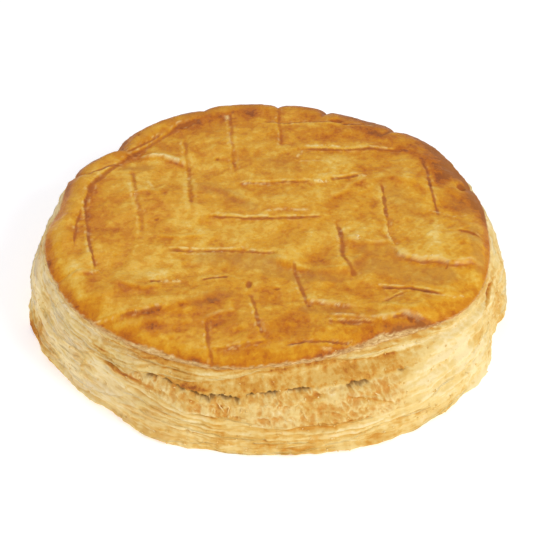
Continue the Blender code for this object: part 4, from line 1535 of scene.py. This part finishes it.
leaf_paths = []
for number, (stand, droop, size, line) in enumerate(NAMED_LEAVES):
    leaf_paths.append(leaf_path(line, stand, droop, 300 + number, size))
leaf_paths += band_leaves() + loose_leaves(LOOSE_LEAVES, 7)
half_width, half_thickness = LEAF_HALF_WIDTH * MM, 0.3 * MM
leaf_sizes = {"Half width": half_width, "Half thickness": half_thickness}
leaf_sizes.update({"Fray": 0.2 * MM, "Fray size": 600.0})
leaves_tree = sweep_tree("curled_leaf_sweep", leaf_finish, half_width, half_thickness)
leaves = grown("curled_leaves", leaf_paths, leaves_tree, leaf_sizes)

# %% [markdown]
# ## Threads of dough
#
# Where the opening tore, threads of soft dough stretched across it and baked hard. The larger
# strands have a place of their own, from top to bottom, and a few small ones lie anywhere on
# the web. All are made a little crooked by a draw with a fixed seed, half sunk in the side, and
# the same sweep with a round section makes them solid.

# %% Thread paths
def wall_radius_at(angle, height):
    """The finished radius of the side, for things that lie on it."""
    return side_surface(angle, height, edge_height_at(angle))[0]


def thread_path(draw, start, top, stop, bottom, thickness, stand):
    """One crooked thread, half sunk in the side, from its top to its bottom."""
    count = 7
    share = np.linspace(0.0, 1.0, count)
    drift = np.cumsum(draw.normal(0.0, 0.14, count))
    angles = start + (stop - start) * share + drift - drift.mean()
    heights = top + (bottom - top) * share + draw.normal(0.0, 0.12, count)
    radius = wall_radius_at(angles, heights)
    radius = np.maximum(radius, np.linspace(radius[0], radius[-1], count)) + stand
    points, lean = round_points(angles, radius, heights), facing_out(angles, 0.0)
    thick = 0.85 * thickness * (0.6 + 0.5 * np.abs(2.0 * share - 1.0) + 0.2 * draw.random(count))
    return points, lean, thick, 0.0 * share


SMALL_THREADS = 8

# Strands across the opening and down the web: angle and height of both ends, and thickness.
STRANDS = (
    (247.2, 26.0, 246.8, 22.2, 1.4),
    (248.8, 24.6, 249.6, 21.4, 1.2),
    (256.8, 24.0, 258.0, 20.6, 1.4),
    (259.0, 22.8, 260.4, 18.2, 1.6),
    (261.4, 22.0, 261.6, 16.8, 1.8),
    (264.4, 21.6, 263.8, 17.6, 1.4),
    (266.4, 24.0, 268.2, 17.4, 1.6),
    (269.6, 20.6, 270.6, 14.8, 1.4),
    (272.6, 25.4, 272.4, 20.0, 1.6),
    (274.4, 21.0, 275.6, 15.4, 1.8),
    (276.8, 22.6, 276.0, 18.6, 1.4),
    (279.4, 26.4, 279.8, 20.4, 1.5),
    (283.0, 24.0, 284.4, 20.0, 1.2),
    (288.0, 25.6, 287.6, 21.6, 1.8),
    (290.4, 25.0, 289.6, 22.2, 1.6),
    (293.0, 24.2, 294.4, 20.8, 1.4),
)


def hanging_threads(seed):
    """The named strands, and smaller ones at random places on the web."""
    draw = np.random.default_rng(seed)
    made = [thread_path(draw, *strand, draw.uniform(-0.55, -0.4)) for strand in STRANDS]
    for _ in range(SMALL_THREADS):
        angle = draw.uniform(244.0, 299.0)
        upper, lower = float(follow(angle, OPENING)) - 0.8, float(follow(angle, LOWER_LIP)) + 0.5
        top = draw.uniform(lower + 1.0, upper)
        bottom = max(lower, top - draw.uniform(1.0, 3.0))
        foot, thickness = angle + draw.normal(0.0, 0.8), draw.uniform(1.2, 1.8)
        made.append(thread_path(draw, angle, top, foot, bottom, thickness, -0.4))
    return made


threads_tree = sweep_tree("thread_sweep", thread_finish, 0.3 * MM, 0.3 * MM)
thread_sizes = {"Half width": 0.3 * MM, "Half thickness": 0.28 * MM, "Fray": 0.12 * MM, "Fray size": 900.0}
threads = grown("dough_threads", hanging_threads(11), threads_tree, thread_sizes)

# %% [markdown]
# ## Torn flakes
#
# Flakes of glaze and leaf have broken off along the scores and lie loose on the crust and on
# the ledges of the side. They are one small bent chip, set on many points, each turned and
# sized by a random value with a fixed seed.

# %% The flake tree
def flake_tree(name, finish_of):
    sizes = {"Flake size": 0.8 * MM, "Flatness": 0.3, "Tilt": 0.6}
    tree, wire, given, found = start_tree(name, sizes)
    chip = wire.node("GeometryNodeMeshIcoSphere", Radius=1.0, Subdivisions=1)
    flat = wire.node("ShaderNodeCombineXYZ", X=1.0, Y=0.7, Z=given["Flatness"])
    chip = wire.node("GeometryNodeTransform", Geometry=chip, Scale=flat)
    place = wire.node("ShaderNodeSeparateXYZ", Vector=wire.node("GeometryNodeInputPosition"))
    bend = wire.node("ShaderNodeCombineXYZ", X=0.0, Y=0.0, Z=place * place * 0.35)
    chip = wire.node("GeometryNodeSetPosition", Geometry=chip, Offset=bend)
    arrow = {"data_type": "FLOAT_VECTOR"}
    facing = wire.node("GeometryNodeInputNamedAttribute", settings=arrow, Name="lean")
    upright = wire.node("FunctionNodeAlignRotationToVector", settings={"axis": "Z"}, Vector=facing)
    least, most = (-1.0, -1.0, -5.0), (1.0, 1.0, 5.0)
    spin = wire.node("FunctionNodeRandomValue", settings=arrow, i0=least, i1=most, Seed=3)
    lean = wire.node("ShaderNodeCombineXYZ", X=given["Tilt"], Y=given["Tilt"], Z=1.0)
    spin = wire.node("ShaderNodeVectorMath", settings={"operation": "MULTIPLY"}, i0=spin, i1=lean)
    turned = wire.node("FunctionNodeEulerToRotation", Euler=spin)
    local = {"rotation_space": "LOCAL"}
    turned = wire.node("FunctionNodeRotateRotation", settings=local, Rotation=upright, Rotate_By=turned)
    size = wire.node("GeometryNodeInputNamedAttribute", settings={"data_type": "FLOAT"}, Name="thick")
    scale = size * given["Flake size"]
    scale = wire.node("ShaderNodeCombineXYZ", X=scale, Y=scale, Z=scale)
    placed = wire.node(
        "GeometryNodeInstanceOnPoints", Points=given["Geometry"], Instance=chip, Rotation=turned, Scale=scale
    )
    end_tree(wire, placed, finish_of)
    return tree, found


# %% Where the flakes lie
def crust_flakes(count, seed):
    """Places on the torn spots and along the pale lips, with a size for each."""
    draw = np.random.default_rng(seed)
    x, y, size = [], [], []
    for _ in range(count):
        if draw.random() < 0.5:
            centre_x, centre_y, wide, deep = TORN[draw.integers(len(TORN))]
            x.append(centre_x + wide * draw.normal(0.0, 0.5))
            y.append(centre_y + deep * draw.normal(0.0, 0.5))
        else:
            width, strength, *points = GLINTS[draw.integers(len(GLINTS))]
            leg = draw.integers(len(points) - 1)
            (ax, ay), (bx, by) = points[leg], points[leg + 1]
            share = draw.random()
            x.append(ax + (bx - ax) * share + draw.normal(0.0, 0.4))
            y.append(ay + (by - ay) * share + draw.normal(0.0, 0.4))
        size.append(draw.uniform(0.3, 0.7))
    return np.array(x), np.array(y), np.array(size)


FLAKES = 70
flake_x, flake_y, flake_size = crust_flakes(FLAKES, 21)
flake_z = crust_surface(flake_x, flake_y)[0] + 0.1
flake_places = np.stack([flake_x, flake_y, flake_z], axis=-1)
upward = np.tile([0.0, 0.0, 1.0], (len(flake_x), 1))

CRUMBS = 700
draw = np.random.default_rng(22)
crumb_angle = draw.uniform(0.0, 360.0, CRUMBS)
crumb_height = draw.uniform(1.0, 32.0, CRUMBS)
crumb_radius = wall_radius_at(crumb_angle, crumb_height) + 0.1
crumb_places = round_points(crumb_angle, crumb_radius, crumb_height)
outward = facing_out(crumb_angle, 0.3)

flake_marks = {
    "lean": np.concatenate([upward, outward]),
    "thick": np.concatenate([flake_size, draw.uniform(0.4, 1.1, CRUMBS)]),
}
places = np.concatenate([flake_places, crumb_places])
flake_guide = make_piece("flake_places", places, [], flake_marks, leaf_finish)
flake_values = {"Flake size": 0.65 * MM, "Flatness": 0.28, "Tilt": 0.5}
flakes = baked("torn_flakes", flake_guide, flake_tree("flake_scatter", flake_finish), flake_values)

# %% [markdown]
# ## Putting the pieces on the frame
#
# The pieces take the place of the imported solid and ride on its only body.

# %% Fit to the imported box
def fit_to_box(pieces, measured):
    """Moves the pieces together, so that the side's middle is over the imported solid's middle."""
    points = np.array([vertex.co for vertex in measured.data.vertices])
    middle = (points.min(axis=0) + points.max(axis=0)) / 2.0
    shift = Vector([(a + b) / 2.0 - m for a, b, m in zip(low, high, middle)][:2] + [0.0])
    print("shift in mm:", [round(s / MM, 2) for s in shift])
    for piece in pieces:
        for vertex in piece.data.vertices:
            vertex.co += shift
            vertex.co.z = max(vertex.co.z, 0.0)


pieces = (crust, side, leaves, threads, flakes)
fit_to_box(pieces, side)
for piece in pieces:
    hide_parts("galette")
    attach(piece, "root")

# %% [markdown]
# ## Table, light and camera
#
# The cake stands on a white table in a bright room. A wide soft light on the right makes that
# side the brightest, a weaker one fills the front, and a white world lifts everything else.
# The table gives off a little light of its own, as a lit product table does.

# %% Floor
TABLE_HALF = 3.0


def make_floor():
    mesh = bpy.data.meshes.new("floor")
    corners = ((-1, -1), (1, -1), (1, 1), (-1, 1))
    mesh.from_pydata([(x * TABLE_HALF, y * TABLE_HALF, 0.0) for x, y in corners], [], [(0, 1, 2, 3)])
    floor = put_in_scene("floor", mesh)
    glow = {"Emission_Strength": 0.4, "Emission_Color": (0.99, 0.985, 1, 1)}
    material, shader, wire = start_material("white_table", Roughness=0.6, Specular_IOR_Level=0.2, **glow)
    tone = wire.blend(wire.cloud(3.0, 2.0), (0.87, 0.875, 0.885), (0.855, 0.86, 0.87))
    wire.tree.links.new(tone.socket, shader.inputs["Base Color"])
    floor.data.materials.append(material)


make_floor()


# %% Lights
LIT_HEIGHT = 0.02


def soft_light(name, place, size, watts, colour):
    light = bpy.data.lights.new(name, "AREA")
    light.shape = "DISK"
    light.size = size
    light.energy = watts
    light.color = colour
    lamp = put_in_scene(name, light)
    lamp.location = place
    lamp.rotation_euler = (Vector((0.0, 0.0, LIT_HEIGHT)) - Vector(place)).to_track_quat("-Z", "Y").to_euler()


soft_light("window", (0.95, -0.70, 0.85), 0.6, 9.0, (1.0, 0.99, 0.97))
soft_light("left_fill", (-1.1, -0.7, 0.7), 1.0, 4.2, (1.0, 0.945, 0.975))
soft_light("back_sky", (-0.3, 0.9, 1.3), 0.8, 2.5, (1.0, 0.99, 0.98))

world = bpy.data.worlds.new("room")
bpy.context.scene.world = world
world.use_nodes = True
background = world.node_tree.nodes["Background"]
background.inputs["Color"].default_value = (0.97, 0.965, 1.0, 1.0)
background.inputs["Strength"].default_value = 0.5
bpy.context.scene.view_settings.view_transform = "Standard"

# %% Camera
VIEW_ELEVATION = 37.3
VIEW_DISTANCE = 0.66
FOCAL_PIXELS = 1440.0
IMAGE_SIDE = 540.0
CENTRE_ACROSS, CENTRE_DOWN = 268.0, 251.0
SENSOR_WIDTH = 36.0
AIM_HEIGHT = 0.0198

camera_data = bpy.data.cameras.new("camera")
camera_data.sensor_width = SENSOR_WIDTH
camera_data.lens = FOCAL_PIXELS / IMAGE_SIDE * SENSOR_WIDTH
camera_data.shift_x = (IMAGE_SIDE / 2 - CENTRE_ACROSS) / IMAGE_SIDE
camera_data.shift_y = (CENTRE_DOWN - IMAGE_SIDE / 2) / IMAGE_SIDE
camera = put_in_scene("camera", camera_data)
tilt = math.radians(VIEW_ELEVATION)
camera.location = (0.0, -VIEW_DISTANCE * math.cos(tilt), AIM_HEIGHT + VIEW_DISTANCE * math.sin(tilt))
camera.rotation_euler = (math.pi / 2 - tilt, 0.0, 0.0)
bpy.context.scene.camera = camera
print("lens", round(camera_data.lens, 1), "mm")
